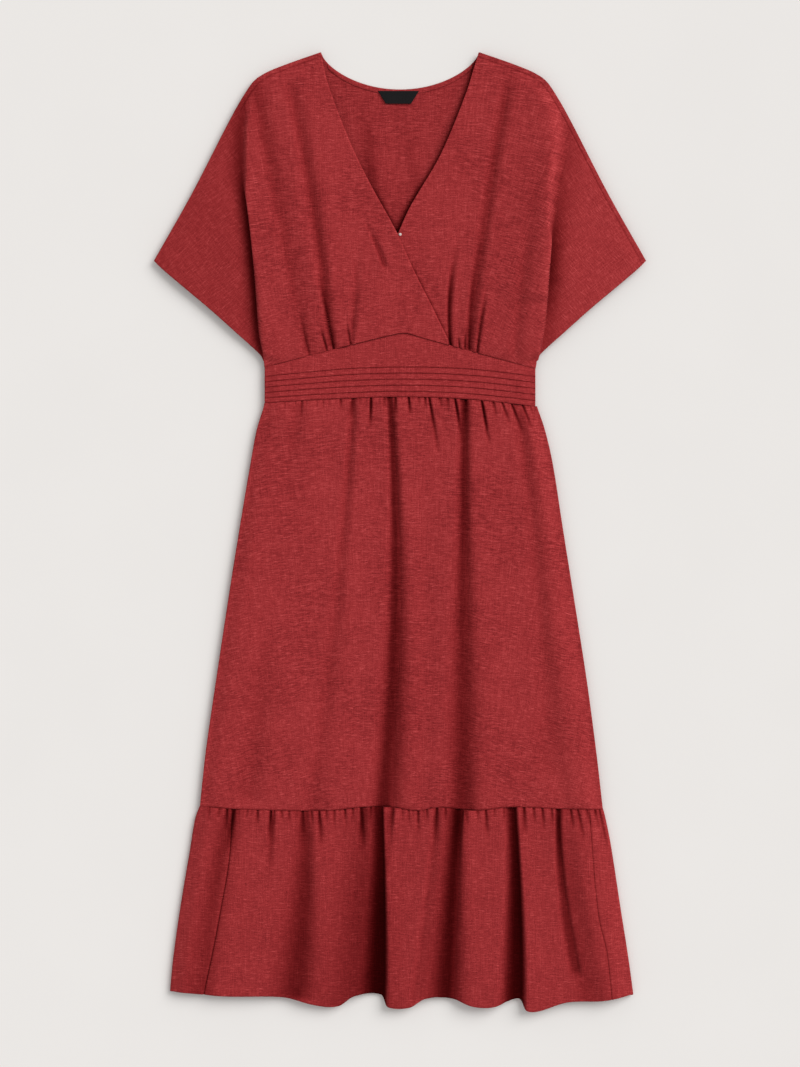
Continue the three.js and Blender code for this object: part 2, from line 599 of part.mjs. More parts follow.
const ruffleRows = RUFFLE_ROWS.map((share) => {
  const rowY = ruffleRowY(share);
  const left = meet(ruffleSeamLeft, rowY, -220);
  const right = meet(ruffleSeamRight, rowY, 250);
  const below = tierY(0) - rowY(0);
  const places = across({
    left, right, y: rowY(0), knots: ruffleKnots(share), folds: RUFFLE_FOLDS,
    gathers: RUFFLE_GATHERS, below,
  });
  return places.map((x) => lying(x, rowY(x), ruffleFrontZ(x, rowY(x)), (x - left) / (right - left)));
});
add('ruffle_front', wall(ruffleRows));

// The back ruffle starts at the right seam on the front, goes round the right side, under, and up
// round the left side to the left seam.
const TURN_RADIUS = FRONT_EDGE_Z / 2;
const TURN_STEPS = 4;
const LEFT_STRIP = [0, 0.08, 0.2, 0.24, 0.28, 0.4, 0.47, 0.51, 0.55, 0.66, 0.7, 0.74, 0.82, 0.86, 0.9, 1];
const RIGHT_STRIP = [0, 0.05, 0.12, 0.3, 0.5, 0.7, 0.8, 0.9, 1];

function ruffleTurn(x, y, outwards) {
  return Array.from({ length: TURN_STEPS - 1 }, (_, i) => {
    const share = (i + 1) / TURN_STEPS;
    const angle = Math.PI * share;
    const at = (radius) => [
      x + outwards * radius * Math.sin(angle), y, TURN_RADIUS + radius * Math.cos(angle),
    ];
    return { key: share, outer: at(TURN_RADIUS), inner: at(TURN_RADIUS - CLOTH) };
  });
}

const ruffleBackRows = RUFFLE_ROWS.map((share) => {
  const rowY = ruffleRowY(share);
  const underY = (x) => lerp(tierY(x), BACK_HEM_Y, share);
  const left = meet(ruffleLeft, rowY, -270) + TURN_RADIUS;
  const right = meet(ruffleRight, rowY, 270) - TURN_RADIUS;
  const seamLeft = meet(ruffleSeamLeft, rowY, -220) - GAP;
  const seamRight = meet(ruffleSeamRight, rowY, 250) + GAP;
  const top = (from, to) => (part) => {
    const x = lerp(from, to, part);
    return lying(x, rowY(x), ruffleFrontZ(x, rowY(x)), part);
  };
  const knots = ruffleKnots(share).filter((x) => x > left + 1 && x < right - 1).toReversed();
  const under = [right, ...knots, left].map((x, i, all) => {
    const y = i === 0 || i === all.length - 1 ? rowY(x) : underY(x);
    return { key: (right - x) / (right - left), outer: [x, y, 0], inner: [x, y, CLOTH] };
  });
  const stretches = [
    RIGHT_STRIP.map(top(seamRight, right)),
    ruffleTurn(right, rowY(right), 1),
    under,
    ruffleTurn(left, rowY(left), -1).toReversed().map((point) => ({ ...point, key: 1 - point.key })),
    LEFT_STRIP.map(top(left, seamLeft)),
  ];
  return stretches.flatMap((stretch, i) => stretch.map((point) => ({ ...point, key: 2 * i + point.key })));
});
add('ruffle_back', wall(ruffleBackRows));

// Press stud on the lower front, beside the upper front's edge

const STUD = { x: 0.5, y: 378.4, radius: 2.4, height: 1.8, sides: 16 };
const studZ = lowerFrontZ(STUD.x, STUD.y) + 2 * GAP;
const studProfile = [[0, 0], [1, 0], [1, 0.35], [0.8, 0.72], [0.42, 0.95], [0, 1]].map(
  ([out, up]) => new THREE.Vector2(out * STUD.radius, up * STUD.height));
const studGeometry = new THREE.LatheGeometry(studProfile, STUD.sides);
studGeometry.rotateX(Math.PI / 2);
studGeometry.translate(STUD.x, STUD.y, studZ);
add('snap', studGeometry, 0xe9e4da, 0.3);

export default dress;
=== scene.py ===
"""Looks of the wrap dress laid flat: cloth panels with their folds and gathers, label, snap and studio."""

import math

import bpy
import numpy as np
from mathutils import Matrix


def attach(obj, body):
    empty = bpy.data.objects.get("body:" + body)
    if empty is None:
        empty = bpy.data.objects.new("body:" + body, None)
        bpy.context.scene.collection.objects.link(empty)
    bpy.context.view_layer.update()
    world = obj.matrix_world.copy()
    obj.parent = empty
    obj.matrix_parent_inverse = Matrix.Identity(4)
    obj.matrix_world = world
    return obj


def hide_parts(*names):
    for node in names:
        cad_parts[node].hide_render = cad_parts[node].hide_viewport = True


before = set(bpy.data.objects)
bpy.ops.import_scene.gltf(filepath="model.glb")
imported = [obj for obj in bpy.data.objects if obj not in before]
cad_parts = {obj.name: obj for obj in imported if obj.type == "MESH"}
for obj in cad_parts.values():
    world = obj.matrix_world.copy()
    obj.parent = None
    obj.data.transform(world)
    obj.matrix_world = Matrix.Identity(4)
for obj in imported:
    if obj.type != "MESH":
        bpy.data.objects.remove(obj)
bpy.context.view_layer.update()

# Sizes in millimetres, in the frame of the CAD model: +X is the viewer's right, +Y runs to the neck
# and +Z is up from the surface that the dress lies on. Meshes are turned into metres at the end.
MM = 0.001

NECK_Y = 610
NECK_HALF = 100.5
NECK_DROP = 46
NECK_ROUND = 0.7
WAIST_HALF = 172
CORNER_Y = 345  # the cuff's outer corner
UNDERARM_Y = 217
WALL = 0.8  # thickness of the cloth
GAP = 0.3

# Heights of the outer face
BACK_Z = WALL
TURN_UP = 18  # width over which a back panel turns up to its side seam
EDGE_Z = 8.5  # fronts at a side seam
EDGE_FLAT = 4  # the seam allowance keeps this strip flat
EDGE_ROLL = 22  # width over which a front rises from its side seam
LOW_Z = BACK_Z + GAP + WALL + 0.3  # the lowest that a front reaches
BODICE_Z = 10
MIDRIFF_Z = 10.5
SKIRT_Z = 12.5
RUFFLE_Z = 13
WRAP_LIFT = 2.2
WRAP_RAMP = 14


def table(columns, *rows):
    """Turns rows of numbers into rows with named columns."""
    return [dict(zip(columns.split(), row)) for row in rows]


OVERARM = table(
    "y out",
    (NECK_Y, NECK_HALF + 1), (597, 139), (586, 167), (576.5, 183), (561.5, 195),
    (527, 215), (430, 265), (CORNER_Y, 313))
CUFF = table(
    "y out",
    (CORNER_Y, 313), (339, 307.5), (319.5, 285), (286, 245), (253, 208), (226, 178.5), (UNDERARM_Y, 173))
SKIRT_SIDES = table(
    "y left right",
    (172, -WAIST_HALF, WAIST_HALF), (160, -173, 174), (130, -182, 184), (87, -190, 194), (4, -204, 207),
    (-84, -218, 221), (-190, -234, 237.5), (-280, -247, 249.5), (-354, -255, 258))
RUFFLE_SIDES = table(
    "y left right",
    (-346, -254, 257), (-365, -261, 262), (-400, -267, 269), (-484, -281, 282), (-541, -289, 291),
    (-592, -294, 298))
UPPER_WRAP = table(
    "y x",
    (NECK_Y, -NECK_HALF), (571, -92), (495, -63), (445, -39), (381, -4), (332, 18), (288, 40), (232, 67.5))
LOWER_WRAP = table(
    "y x",
    (NECK_Y, NECK_HALF), (592, 95), (557, 84), (480, 52), (413, 13), (378, -3), (332, -25), (288, -45),
    (232, -70))
MIDRIFF_TOP = table(
    "x y",
    (-173, 209), (-94, 229.5), (-10, 250.5), (8, 252.5), (26, 247.5), (89, 230), (173, 207))
FIRST_TUCK = table("x y", (-173, 197.5), (-118, 203), (-57, 208), (28, 209.5), (101, 206), (173, 197.5))
WAIST_SEAM = table("x y", (-175, 163.5), (-60, 169.5), (4, 171), (80, 168.5), (175, 159))
TIER_SEAM = table(
    "x y",
    (-256, -350), (-191, -354), (-89, -355), (-48, -350.5), (-15, -350.5), (23, -355), (48, -351),
    (98, -355), (143, -350.5), (202, -353), (258, -354))
HEM = table(
    "x y",
    (-294, -585), (-222, -591), (-150, -592.5), (-103, -603.5), (-78, -603.5), (-58, -591), (-24, -590),
    (-14, -604.5), (12, -605.5), (32, -594.5), (66, -594.5), (93, -604), (118, -604.5), (146, -595),
    (154, -596), (163, -609), (176, -610), (212, -599), (256, -597), (298, -589))
BACK_HEM_Y = -586
TUCKS = 5
RUFFLE_SEAM_LEFT = table(
    "y x", (-346, -213), (-416, -217), (-476, -227), (-534, -238), (-576, -247), (-592, -250))
RUFFLE_SEAM_RIGHT = table("y x", (-346, 240), (-400, 244), (-440, 247), (-493, 253), (-536, 263), (-592, 269))

# Long folds. Each line runs from x at top, by way of mid, to end_x at end. Left and right are its half
# widths at the end, and flare is how many times as wide it starts. Depth is how far it sinks (a minus
# sign makes a ridge), crest is the swell beside it, and start and finish are its strength at each end.
# Power squares up the trough. Lean is how far the right lip hangs over it, or the left one where it
# has a minus sign. Dark is painted shade: the share of the light that its depth keeps out, which is
# multiplied into the cloth's colour.
FOLD_COLUMNS = "x top mid end_x end left right flare depth crest start finish power lean dark"
BODICE_FOLDS = table(
    FOLD_COLUMNS,
    (-183, 560, -151, -117, 229, 7, 9, 1.3, 3, 0.8, 1, 0.55, 2, 0, 0.34),
    (-140, 545, -131, -105, 300, 8, 9, 1.3, -2.4, 0, 0.5, 0.6, 2, 0, 0),
    (-136, 550, -108, -88, 235, 5, 7, 1.5, 4, 1.5, 0.75, 1, 2, -1, 0.33),
    (-104, 340, -95, -84, 231, 1.8, 2.2, 1.6, 4, 0.8, 0, 1, 2, 0, 0.68),
    (-101, 264, -98, -93, 229, 1.4, 1.4, 1, 3.5, 0.6, 0, 1, 2, 0, 0.75),
    (-126, 285, -122, -115, 224, 1.4, 1.6, 1, 2, 0.4, 0, 1, 2, 0, 0.45),
    (-53, 355, -57, -62, 236, 2.4, 2.6, 2, 3, 0.8, 0.2, 0.8, 2, 0, 0.3),
    (-67, 268, -65, -62, 235, 1.4, 1.4, 1, 3.5, 0.6, 0, 1, 2, 0, 0.75),
    (-43, 392, -31, -21, 338, 2.2, 5, 1, 3, 1, 0.2, 0.9, 2, 0, 0.38),
    (72, 365, 63, 64, 236, 1.8, 2.6, 1.5, 5, 1.5, 0.1, 1.1, 2, 0, 0.74),
    (74, 252, 75, 76, 232, 1.2, 1.2, 1, 2.5, 0.5, 0, 1, 2, 0, 0.5),
    (83, 258, 83, 83, 230, 1.4, 1.4, 1, 3, 0.5, 0, 1, 2, 0, 0.65),
    (133, 550, 107, 87, 232, 5, 6, 1.4, 4, 1.8, 0.85, 0.85, 2, 0, 0.36),
    (100, 360, 91, 88, 232, 2, 2.4, 1.4, 4, 1, 0.3, 1, 2, 0, 0.55),
    (112, 318, 104, 98, 227, 1.6, 1.8, 1.5, 4, 1, 0, 1, 2, 0, 0.6),
    (176, 450, 157, 147, 225, 6, 8, 1.3, 2.5, 1.2, 0.25, 0.8, 2, 0, 0.15),
    (192, 575, 186, 181, 300, 26, 8, 1, -4.5, 0, 0.8, 1, 2, 0, 0))
SKIRT_FOLDS = table(
    FOLD_COLUMNS,
    (-14, 172, -7, -23, -356, 14, 19, 0.3, 6, 2, 0.95, 1, 2, -1, 0.68),
    (82, 172, 80, 78, -356, 16, 19, 0.34, 6, 2, 0.95, 0.8, 2, 1, 0.69),
    (-59, 170, -81, -112, -352, 10, 13, 0.4, 3, 1.5, 0.9, 0.5, 2, 0, 0.25),
    (148, 165, 178, 188, -300, 13, 16, 0.6, 3, 1.5, 0.9, 0.4, 2, 0, 0.2),
    (-130, 156, -142, -154, -20, 12, 16, 0.6, 2, 1, 0.9, 0, 2, 0, 0.15),
    (-174, -90, -180, -192, -340, 16, 18, 0.8, 2, 1, 0, 1, 2, 0, 0.12),
    (30, 120, 34, 30, -340, 14, 20, 0.6, 1.5, 1, 0.2, 0.8, 2, 0, 0.06),
    (168, 100, 196, 226, -345, 14, 20, 0.7, -3.5, 0, 0.5, 1, 2, 0, 0))
RUFFLE_FOLDS = table(
    FOLD_COLUMNS,
    (-120, -350, -122, -133, -592, 28, 18, 0.4, 5, 2, 0.6, 0.9, 2, 0, 0.66),
    (-23, -350, -21, -23, -605, 24, 8, 0.5, 8, 1.5, 0.9, 1, 4, 3, 0.87),
    (-34, -350, -40, -44, -605, 46, 32, 0.6, 2.5, 0, 0.5, 1, 2, 0, 0.5),
    (-9, -350, -13, -18, -440, 4, 3, 1, 4, 1, 1, 0.2, 2, 1, 0.6),
    (-46, -350, -53, -60, -470, 3, 7, 1, 3, 1, 1, 0.1, 2, 0, 0.4),
    (73, -350, 66, 59, -605, 24, 17, 0.5, 7, 2.5, 1, 1, 2, 0, 0.82),
    (81, -350, 75, 76, -500, 10, 3, 1, 4, 1, 1, 0.1, 3, 2, 0.5),
    (47, -350, 34, 18, -590, 5, 9, 0.8, 3, 1, 0.9, 0.6, 2, 0, 0.22),
    (146, -350, 152, 152, -610, 22, 9, 0.5, 9, 2.5, 0.9, 1, 4, 3, 0.89),
    (202, -350, 207, 224, -560, 7, 7, 0.6, 6, 1.5, 1.1, 0.6, 3, 2, 0.68),
    (206, -350, 214, 238, -596, 12, 28, 0.6, 2, 0, 0.5, 1, 2, 0, 0.26),
    (222, -350, 240, 266, -598, 16, 24, 0.7, -4.5, 0, 0.5, 1, 2, 0, 0),
    (-205, -350, -224, -246, -592, 6, 7, 1, 2, 1, 0.6, 0.4, 2, 0, 0.2),
    (-212, -350, -238, -254, -592, 20, 12, 0.6, 2.5, 0.5, 1, 0.8, 2, 0, 0.42))
BACK_FOLDS = table(
    FOLD_COLUMNS,
    (-33, 545, -30, -12, 400, 8, 22, 1, -4, 0, 0, 0.2, 2, 0, 0),
    (-42, 545, -40, -22, 400, 5, 7, 1.6, 0, 0, 0.2, 1, 2, 0, 0.35),
    (14, 515, 24, 34, 440, 18, 20, 1, -2.4, 0, 0, 0.2, 2, 0, 0),
    (10, 515, 14, 22, 430, 6, 8, 1.2, 0, 0, 0.3, 0.6, 2, 0, 0.2))
WRAP_EDGE_DARK = 0.5  # painted shadow beside the upper front's edge, below where the fronts cross
WRAP_EDGE_SHADE = 2.5
WRAP_EDGE_ROLL = 2.4  # the upper front's edge bends down over this width
BACK_LIGHT = 0.94  # painted shade: share of the light that gets in between the fronts
SNAP_X, SNAP_Y = 0.3, 378.2

# The body lies over either sleeve along these edges. Side says which way the sleeve lies, rise is the
# body's, and sink the sleeve's. Dim is painted shade: the share of light that the whole sleeve lacks.
# Shade is the width of the painted shadow beside the step, and the body's crest also gets a painted
# highlight, brightened by the given share. At each place the step has a strength and a width, round,
# and dark is the painted shadow that it puts on the sleeve: the light that it keeps from it.
SLEEVE_EDGE_COLUMNS = "y x strength round dark"
LEFT_SLEEVE_EDGE = {
    "side": -1, "rise": 8, "sink": 4.5, "shade": 12, "dim": 0.17, "painted_highlight": 0, "places": table(
        SLEEVE_EDGE_COLUMNS,
        (562, -192, 0, 9, 0), (548, -197, 0.2, 9, 0.3), (529, -200.5, 0.35, 9, 0.4),
        (508, -202.5, 0.5, 9, 0.45), (465, -202.5, 0.7, 8, 0.5), (440, -199.5, 0.85, 6, 0.6),
        (418, -194, 0.95, 4, 0.74), (370, -187.5, 1, 3.5, 0.84), (317, -182.5, 1, 3.5, 0.82),
        (253, -178, 0.9, 3, 0.7), (225, -174, 0.6, 3, 0.5), (200, -172, 0, 3, 0))}
RIGHT_SLEEVE_EDGE = {
    "side": 1, "rise": 8, "sink": 3, "shade": 15, "dim": 0.01, "painted_highlight": 0.2, "places": table(
        SLEEVE_EDGE_COLUMNS,
        (575, 216, 0, 24, 0), (551, 217, 0.4, 24, 0.05), (505, 217, 0.65, 23, 0.16),
        (480, 214.5, 0.75, 22, 0.2), (454, 208.5, 0.85, 20, 0.2), (425, 203.5, 0.95, 17, 0.3),
        (401, 198.5, 1, 11, 0.44), (372, 192.5, 1, 5, 0.64), (346, 189, 1, 3, 0.76), (330, 188, 1, 3, 0.76),
        (300, 186, 1, 3, 0.6), (266, 183, 1, 3, 0.35), (231, 178, 0.8, 3, 0.2),
        (205, 174, 0, 3, 0))}
SLEEVE_EDGE_HOLLOW = 1.5  # above 1, the step is steepest at its top
SLEEVE_EDGE_BACK = 60  # the body's swell fades over this width
SLEEVE_EDGE_LEAN = 5  # how far a narrow step hangs over the sleeve
OVERARM_SEAM_IN = 5.5  # the overarm seam's line, in from the edge
OVERARM_SEAM_LEFT_FROM = 527  # on the left it shows only above this height

# Gathers that start at a seam: how far each one runs down, leans sideways and sinks, and how wide it
# grows. It is narrow at the seam.
GATHER_COLUMNS = "x length lean depth half"
WAIST_GATHERS = table(
    GATHER_COLUMNS,
    (-125, 22, -1, 2, 2), (-98, 12, 0, 1.5, 2), (-76, 14, 0, 2, 2), (-60, 24, -3, 3, 4),
    (-37, 40, -1, 5, 2.2), (-21, 14, 0, 2, 2), (-6, 26, 0, 3, 3), (11, 24, 2, 4.5, 2.2),
    (24, 12, 0, 1.5, 2), (32, 16, 0, 2.5, 2), (37, 74, 13, 3.8, 3), (50, 12, 1, 2, 2),
    (60, 18, 1, 2, 2), (70, 46, 8, 5.5, 2.4), (84, 22, 0, 3, 4), (104, 56, 10, 5.5, 2.4),
    (119, 20, 3, 2.5, 2.4), (130, 26, 9, 3, 2.6), (142, 38, 15, 3.6, 2.8), (156, 30, 12, 3, 2.6),
    (166, 16, 5, 2, 2))
RUFFLE_GATHERS = table(
    GATHER_COLUMNS,
    (-242, 18, -2, 2, 2), (-230, 16, -3, 2, 2), (-220, 30, -2, 3, 2.4), (-211, 50, -7, 4, 5),
    (-194, 16, -3, 2, 2), (-181, 20, -1, 2.5, 2.4), (-164, 40, -3, 4.5, 2.6), (-160, 82, -8, 2.5, 5),
    (-151, 16, 2, 2, 2), (-141, 16, 0, 2, 2), (-124, 44, 0, 3, 4.5), (-113, 18, 2, 2, 2),
    (-103, 44, 3, 3.6, 4), (-94, 16, 0, 2, 2), (-84, 20, 0, 2, 2.6), (-70, 22, 1, 2.5, 2),
    (-60, 16, 0, 1.5, 2), (-50, 56, 4, 3.6, 4), (-37, 20, 0, 2.5, 2.4), (3, 16, 0, 2, 2),
    (11, 20, 0, 2, 3), (23, 30, 0, 3, 2.4), (34, 16, 0, 2, 2), (47, 44, -3, 3.4, 4),
    (58, 20, 0, 2.5, 2.4), (85, 20, 1, 2.5, 2), (99, 18, 0, 2, 2), (109, 34, 2, 3, 3),
    (120, 14, 0, 1.5, 2), (132, 20, 0, 2, 2), (158, 34, 1, 3.4, 3), (170, 22, 1, 2.5, 2),
    (181, 28, 2, 3, 2.6), (193, 24, 1, 2.5, 2.2), (217, 24, 3, 3, 2.4), (226, 40, 8, 3, 3),
    (238, 22, 4, 2.4, 2.2), (248, 26, 5, 2.5, 2.4), (254, 50, 11, 3, 2.4))
GATHER_START_HALF = 1.2
GATHER_PUFF = 2.2
GATHER_DARK = 0.25  # painted shade: share of light kept out for each millimetre of depth
PUFF_REACH = 34
UNDER_GATHER = 0.1  # share of a gather's depth that the back's underside has


def curve(rows, key, value):
    """Smooth curve through a table: the value of one column where another has a given value."""
    rows = sorted(rows, key=lambda row: row[key])
    known = np.array([row[key] for row in rows], float)
    wanted = np.array([row[value] for row in rows], float)
    last = len(rows) - 1
    chord = np.diff(wanted) / np.diff(known)
    before = np.maximum(np.arange(last + 1) - 1, 0)
    after = np.minimum(np.arange(last + 1) + 1, last)
    tangent = (wanted[after] - wanted[before]) / (known[after] - known[before])

    def at(place):
        place = np.asarray(place, float)
        i = np.clip(np.searchsorted(known, place, side="right") - 1, 0, last - 1)
        span = known[i + 1] - known[i]
        t = np.clip((place - known[i]) / span, 0, 1)
        bend = (tangent[i] - chord[i]) * (1 - t) - (tangent[i + 1] - chord[i]) * t
        return lerp(wanted[i], wanted[i + 1], t) + t * (1 - t) * span * bend

    return at


def lerp(a, b, t):
    return a + (b - a) * t


def smoothstep(x, low, high):
    t = np.clip((x - low) / (high - low), 0, 1)
    return t * t * (3 - 2 * t)


def soft_max(a, b, blend=0.8):
    """The larger of two heights, with a rounded change from one to the other."""
    return (a + b + np.sqrt((a - b) ** 2 + blend ** 2)) / 2


def relief(x, y, size_x, size_y, seed):
    """Smooth uneven ground between -1 and 1, with humps of about the given size."""
    rng = np.random.default_rng(seed)
    slopes = rng.uniform(-1, 1, (64, 64))
    gx, gy = np.asarray(x, float) / size_x, np.asarray(y, float) / size_y
    ix, iy = np.floor(gx).astype(int), np.floor(gy).astype(int)
    tx, ty = gx - ix, gy - iy
    tx, ty = tx * tx * (3 - 2 * tx), ty * ty * (3 - 2 * ty)
    corner = lambda dx, dy: slopes[(ix + dx) % 64, (iy + dy) % 64]
    return lerp(lerp(corner(0, 0), corner(1, 0), tx), lerp(corner(0, 1), corner(1, 1), tx), ty)


overarm_out = curve(OVERARM, "y", "out")
cuff_out = curve(CUFF, "y", "out")
skirt_left = curve(SKIRT_SIDES, "y", "left")
skirt_right = curve(SKIRT_SIDES, "y", "right")
ruffle_left = curve(RUFFLE_SIDES, "y", "left")
ruffle_right = curve(RUFFLE_SIDES, "y", "right")
upper_wrap_x = curve(UPPER_WRAP, "y", "x")
lower_wrap_x = curve(LOWER_WRAP, "y", "x")
midriff_top_y = curve(MIDRIFF_TOP, "x", "y")
first_tuck_y = curve(FIRST_TUCK, "x", "y")
waist_y = curve(WAIST_SEAM, "x", "y")
tier_y = curve(TIER_SEAM, "x", "y")
hem_y = curve(HEM, "x", "y")
ruffle_seam_left = curve(RUFFLE_SEAM_LEFT, "y", "x")
ruffle_seam_right = curve(RUFFLE_SEAM_RIGHT, "y", "x")
left_sleeve_edge_x = curve(LEFT_SLEEVE_EDGE["places"], "y", "x")
right_sleeve_edge_x = curve(RIGHT_SLEEVE_EDGE["places"], "y", "x")


def bodice_out(y):
    """How far out the bodice reaches at a height: overarm line, then cuff, then side seam."""
    return np.where(y >= CORNER_Y, overarm_out(y), np.where(y >= UNDERARM_Y, cuff_out(y), WAIST_HALF))


def neck_y(x):
    across = np.minimum(np.abs(x) / NECK_HALF, 1)
    return NECK_Y - NECK_DROP * (1 - across ** 2) ** NECK_ROUND


# Folds

def fold_line(fold, x, y):
    """Distance to the right of a fold's line, as a share of its half width, and its strength."""
    t = (fold["top"] - y) / (fold["top"] - fold["end"])
    bow = fold["mid"] - (fold["x"] + fold["end_x"]) / 2
    offset = x - lerp(fold["x"], fold["end_x"], t) - 4 * t * (1 - t) * bow
    strength = lerp(fold["start"], fold["finish"], smoothstep(t, 0, 0.6))
    fade = smoothstep(t, -0.12, 0.02) * smoothstep(t, 1.04, 0.99)
    width = np.where(offset < 0, fold["left"], fold["right"]) * lerp(fold["flare"], 1, smoothstep(t, 0, 1))
    return offset / width, strength * fade


def folds_form(folds, x, y):
    """Height of folds, how far their lips lean sideways, and the painted shade in them."""
    height, lean, light = (np.full(np.broadcast(x, y).shape, value) for value in (0.0, 0.0, 1.0))
    for fold in folds:
        share, strength = fold_line(fold, x, y)
        dip = np.exp(-np.abs(share) ** fold["power"])
        swell = np.exp(-(share / 3) ** 2)
        height += strength * (fold["crest"] * swell - (fold["crest"] + fold["depth"]) * dip)
        # painted shade: the fold's depth darkens the cloth's colour
        light *= 1 - fold["dark"] * strength * dip
        if fold["lean"]:
            side = np.sign(fold["lean"])
            lean -= fold["lean"] * strength * np.exp(-((share - 1.3 * side) / 0.8) ** 2)
    return height, lean, light


def gathers_form(gathers, x, below, seed, spacing=7.5):
    """Narrow gathers that hang from a seam: the listed ones, and small ones all along between them."""
    rng = np.random.default_rng(seed)
    places = np.arange(np.min(x), np.max(x), spacing)
    small = [{"x": place + rng.uniform(-3, 3), "length": rng.uniform(5, 16), "lean": 0,
              "depth": rng.uniform(0.3, 1.3), "half": 2} for place in places]
    height, light = np.zeros(np.broadcast(x, below).shape), np.ones(np.broadcast(x, below).shape)
    for gather in gathers + small:
        run = np.clip(below / gather["length"], 0, 1)
        half = lerp(GATHER_START_HALF, gather["half"], run ** 0.7)
        offset = (x - gather["x"] - gather["lean"] * run) / half
        dip = gather["depth"] * (1 - run) ** 0.8 * np.exp(-offset ** 2)
        height -= dip
        # painted shade in each gather, the deeper ones darker
        light *= 1 - np.minimum(GATHER_DARK * dip, 0.8)
    return height, light


# Heights of the outer face

def rolled(inside, distance):
    """A front comes up from its flat side seam to its inside height."""
    t = np.clip((distance - EDGE_FLAT) / (EDGE_ROLL - EDGE_FLAT), 0, 1)
    rise = np.sin(t * math.pi / 2) ** 1.2
    return lerp(EDGE_Z, np.maximum(inside, np.minimum(EDGE_Z, inside + 2)), rise)


def overarm_distance(x, y):
    """Distance to the overarm line, where a sleeve's two layers are joined."""
    out = np.abs(x)
    least = np.full(np.broadcast(x, y).shape, 1e9)
    for start, end in zip(OVERARM, OVERARM[1:]):
        run_x, run_y = end["out"] - start["out"], end["y"] - start["y"]
        t = ((out - start["out"]) * run_x + (y - start["y"]) * run_y) / (run_x ** 2 + run_y ** 2)
        t = np.clip(t, 0, 1)
        least = np.minimum(least, np.hypot(out - start["out"] - t * run_x, y - start["y"] - t * run_y))
    return least


def seam_dip(distance, depth=1.5, reach=9):
    """The cloth sinks into a seam."""
    return depth * np.exp(-np.maximum(distance, 0) / reach)


def seam_light(distance, dark=0.3, reach=0.8):
    """Painted shade in the ditch at a seam, where little light gets in."""
    return 1 - dark * np.exp(-(distance / reach) ** 2)


def uneven(x, y, seed):
    """Soft unevenness of cloth that was laid by hand."""
    return (1.1 * relief(x, y, 55, 80, seed) + 0.55 * relief(x, y, 24, 30, seed + 1)
            + 0.22 * relief(x, y, 16, 9, seed + 2))


def sleeve_edge_form(edge, x, y):
    """The body where it lies over a sleeve: its height, overhang, painted shadow and painted highlight."""
    inward = edge["side"] * (curve(edge["places"], "y", "x")(y) - x)
    strength, width, dark = (curve(edge["places"], "y", key)(y) for key in ("strength", "round", "dark"))
    step = smoothstep(inward / width, -0.15, 1) ** SLEEVE_EDGE_HOLLOW
    body = edge["rise"] * step * np.exp(-(np.maximum(inward - width, 0) / SLEEVE_EDGE_BACK) ** 1.3)
    sleeve = edge["sink"] * (1 - step) * np.exp(-(np.minimum(inward, 0) / 16) ** 2)
    hang = strength * smoothstep(-width, -8, -4) * np.exp(-((inward - width) / (0.8 * width)) ** 2)
    # painted shadow beside the step, and painted shade over the whole sleeve
    shade = (1 - step) ** 3 * np.exp(-(np.minimum(inward, 0) / edge["shade"]) ** 2)
    light = (1 - dark * shade) * (1 - edge["dim"] * (1 - step) * (np.abs(x) > 150))
    # painted highlight along the body's crest
    crest = (inward - 0.7 * width) / np.maximum(0.22 * width, 3)
    light *= 1 + edge["painted_highlight"] * strength * np.exp(-crest ** 2)
    return strength * (body - sleeve), edge["side"] * SLEEVE_EDGE_LEAN * hang, light


def bodice_front(x, y, sleeve_edge):
    """Height, lean, and painted shade and highlight of either front."""
    above = np.maximum(y - midriff_top_y(x), 0)
    folds, fold_lean, fold_light = folds_form(BODICE_FOLDS, x, y)
    edge, edge_lean, edge_light = sleeve_edge_form(sleeve_edge, x, y)
    inside = soft_max(BODICE_Z + folds + edge + uneven(x, y, 3) - seam_dip(above), LOW_Z)
    overarm = overarm_distance(x, y)
    side = np.maximum(WAIST_HALF + 2 - np.abs(x), 0) + 1.5 * np.maximum(y - UNDERARM_Y, 0)
    shows = np.where(x > 0, 1, smoothstep(y, OVERARM_SEAM_LEFT_FROM, OVERARM_SEAM_LEFT_FROM + 20))
    seam = shows * np.exp(-((overarm - OVERARM_SEAM_IN) / 0.8) ** 2)
    z = rolled(inside, np.minimum(overarm, side)) - 0.5 * seam
    # painted shade in the folds, beside the sleeve edge, along the midriff seam and in the overarm seam
    light = fold_light * edge_light * seam_light(above, 0.14) * (1 - 0.35 * seam)
    return z, fold_lean + edge_lean, light


def edge_roll(inward):
    """How far the upper front's turned edge bends down at a distance inwards from it."""
    return 1.2 * np.clip(1 - inward / WRAP_EDGE_ROLL, 0, 1) ** 2


def upper_front(x, y):
    z, lean, light = bodice_front(x, y, LEFT_SLEEVE_EDGE)
    start = lower_wrap_x(y) - WRAP_RAMP - 4
    lift = WRAP_LIFT * smoothstep(x, start, start + 2 * WRAP_RAMP)
    return z + lift - edge_roll(upper_wrap_x(y) - x), lean, light


def lower_front(x, y):
    z, lean, light = bodice_front(x, y, RIGHT_SLEEVE_EDGE)
    inward = x - upper_wrap_x(y)
    hidden = smoothstep(-inward, 0, WRAP_RAMP)
    # painted shadow on the lower front beside the upper front's edge
    shade = np.exp(-(inward / WRAP_EDGE_SHADE) ** 2) * smoothstep(-y, -SNAP_Y, -SNAP_Y + 60)
    return lerp(z, LOW_Z, hidden), lean, light * (1 - WRAP_EDGE_DARK * shade)


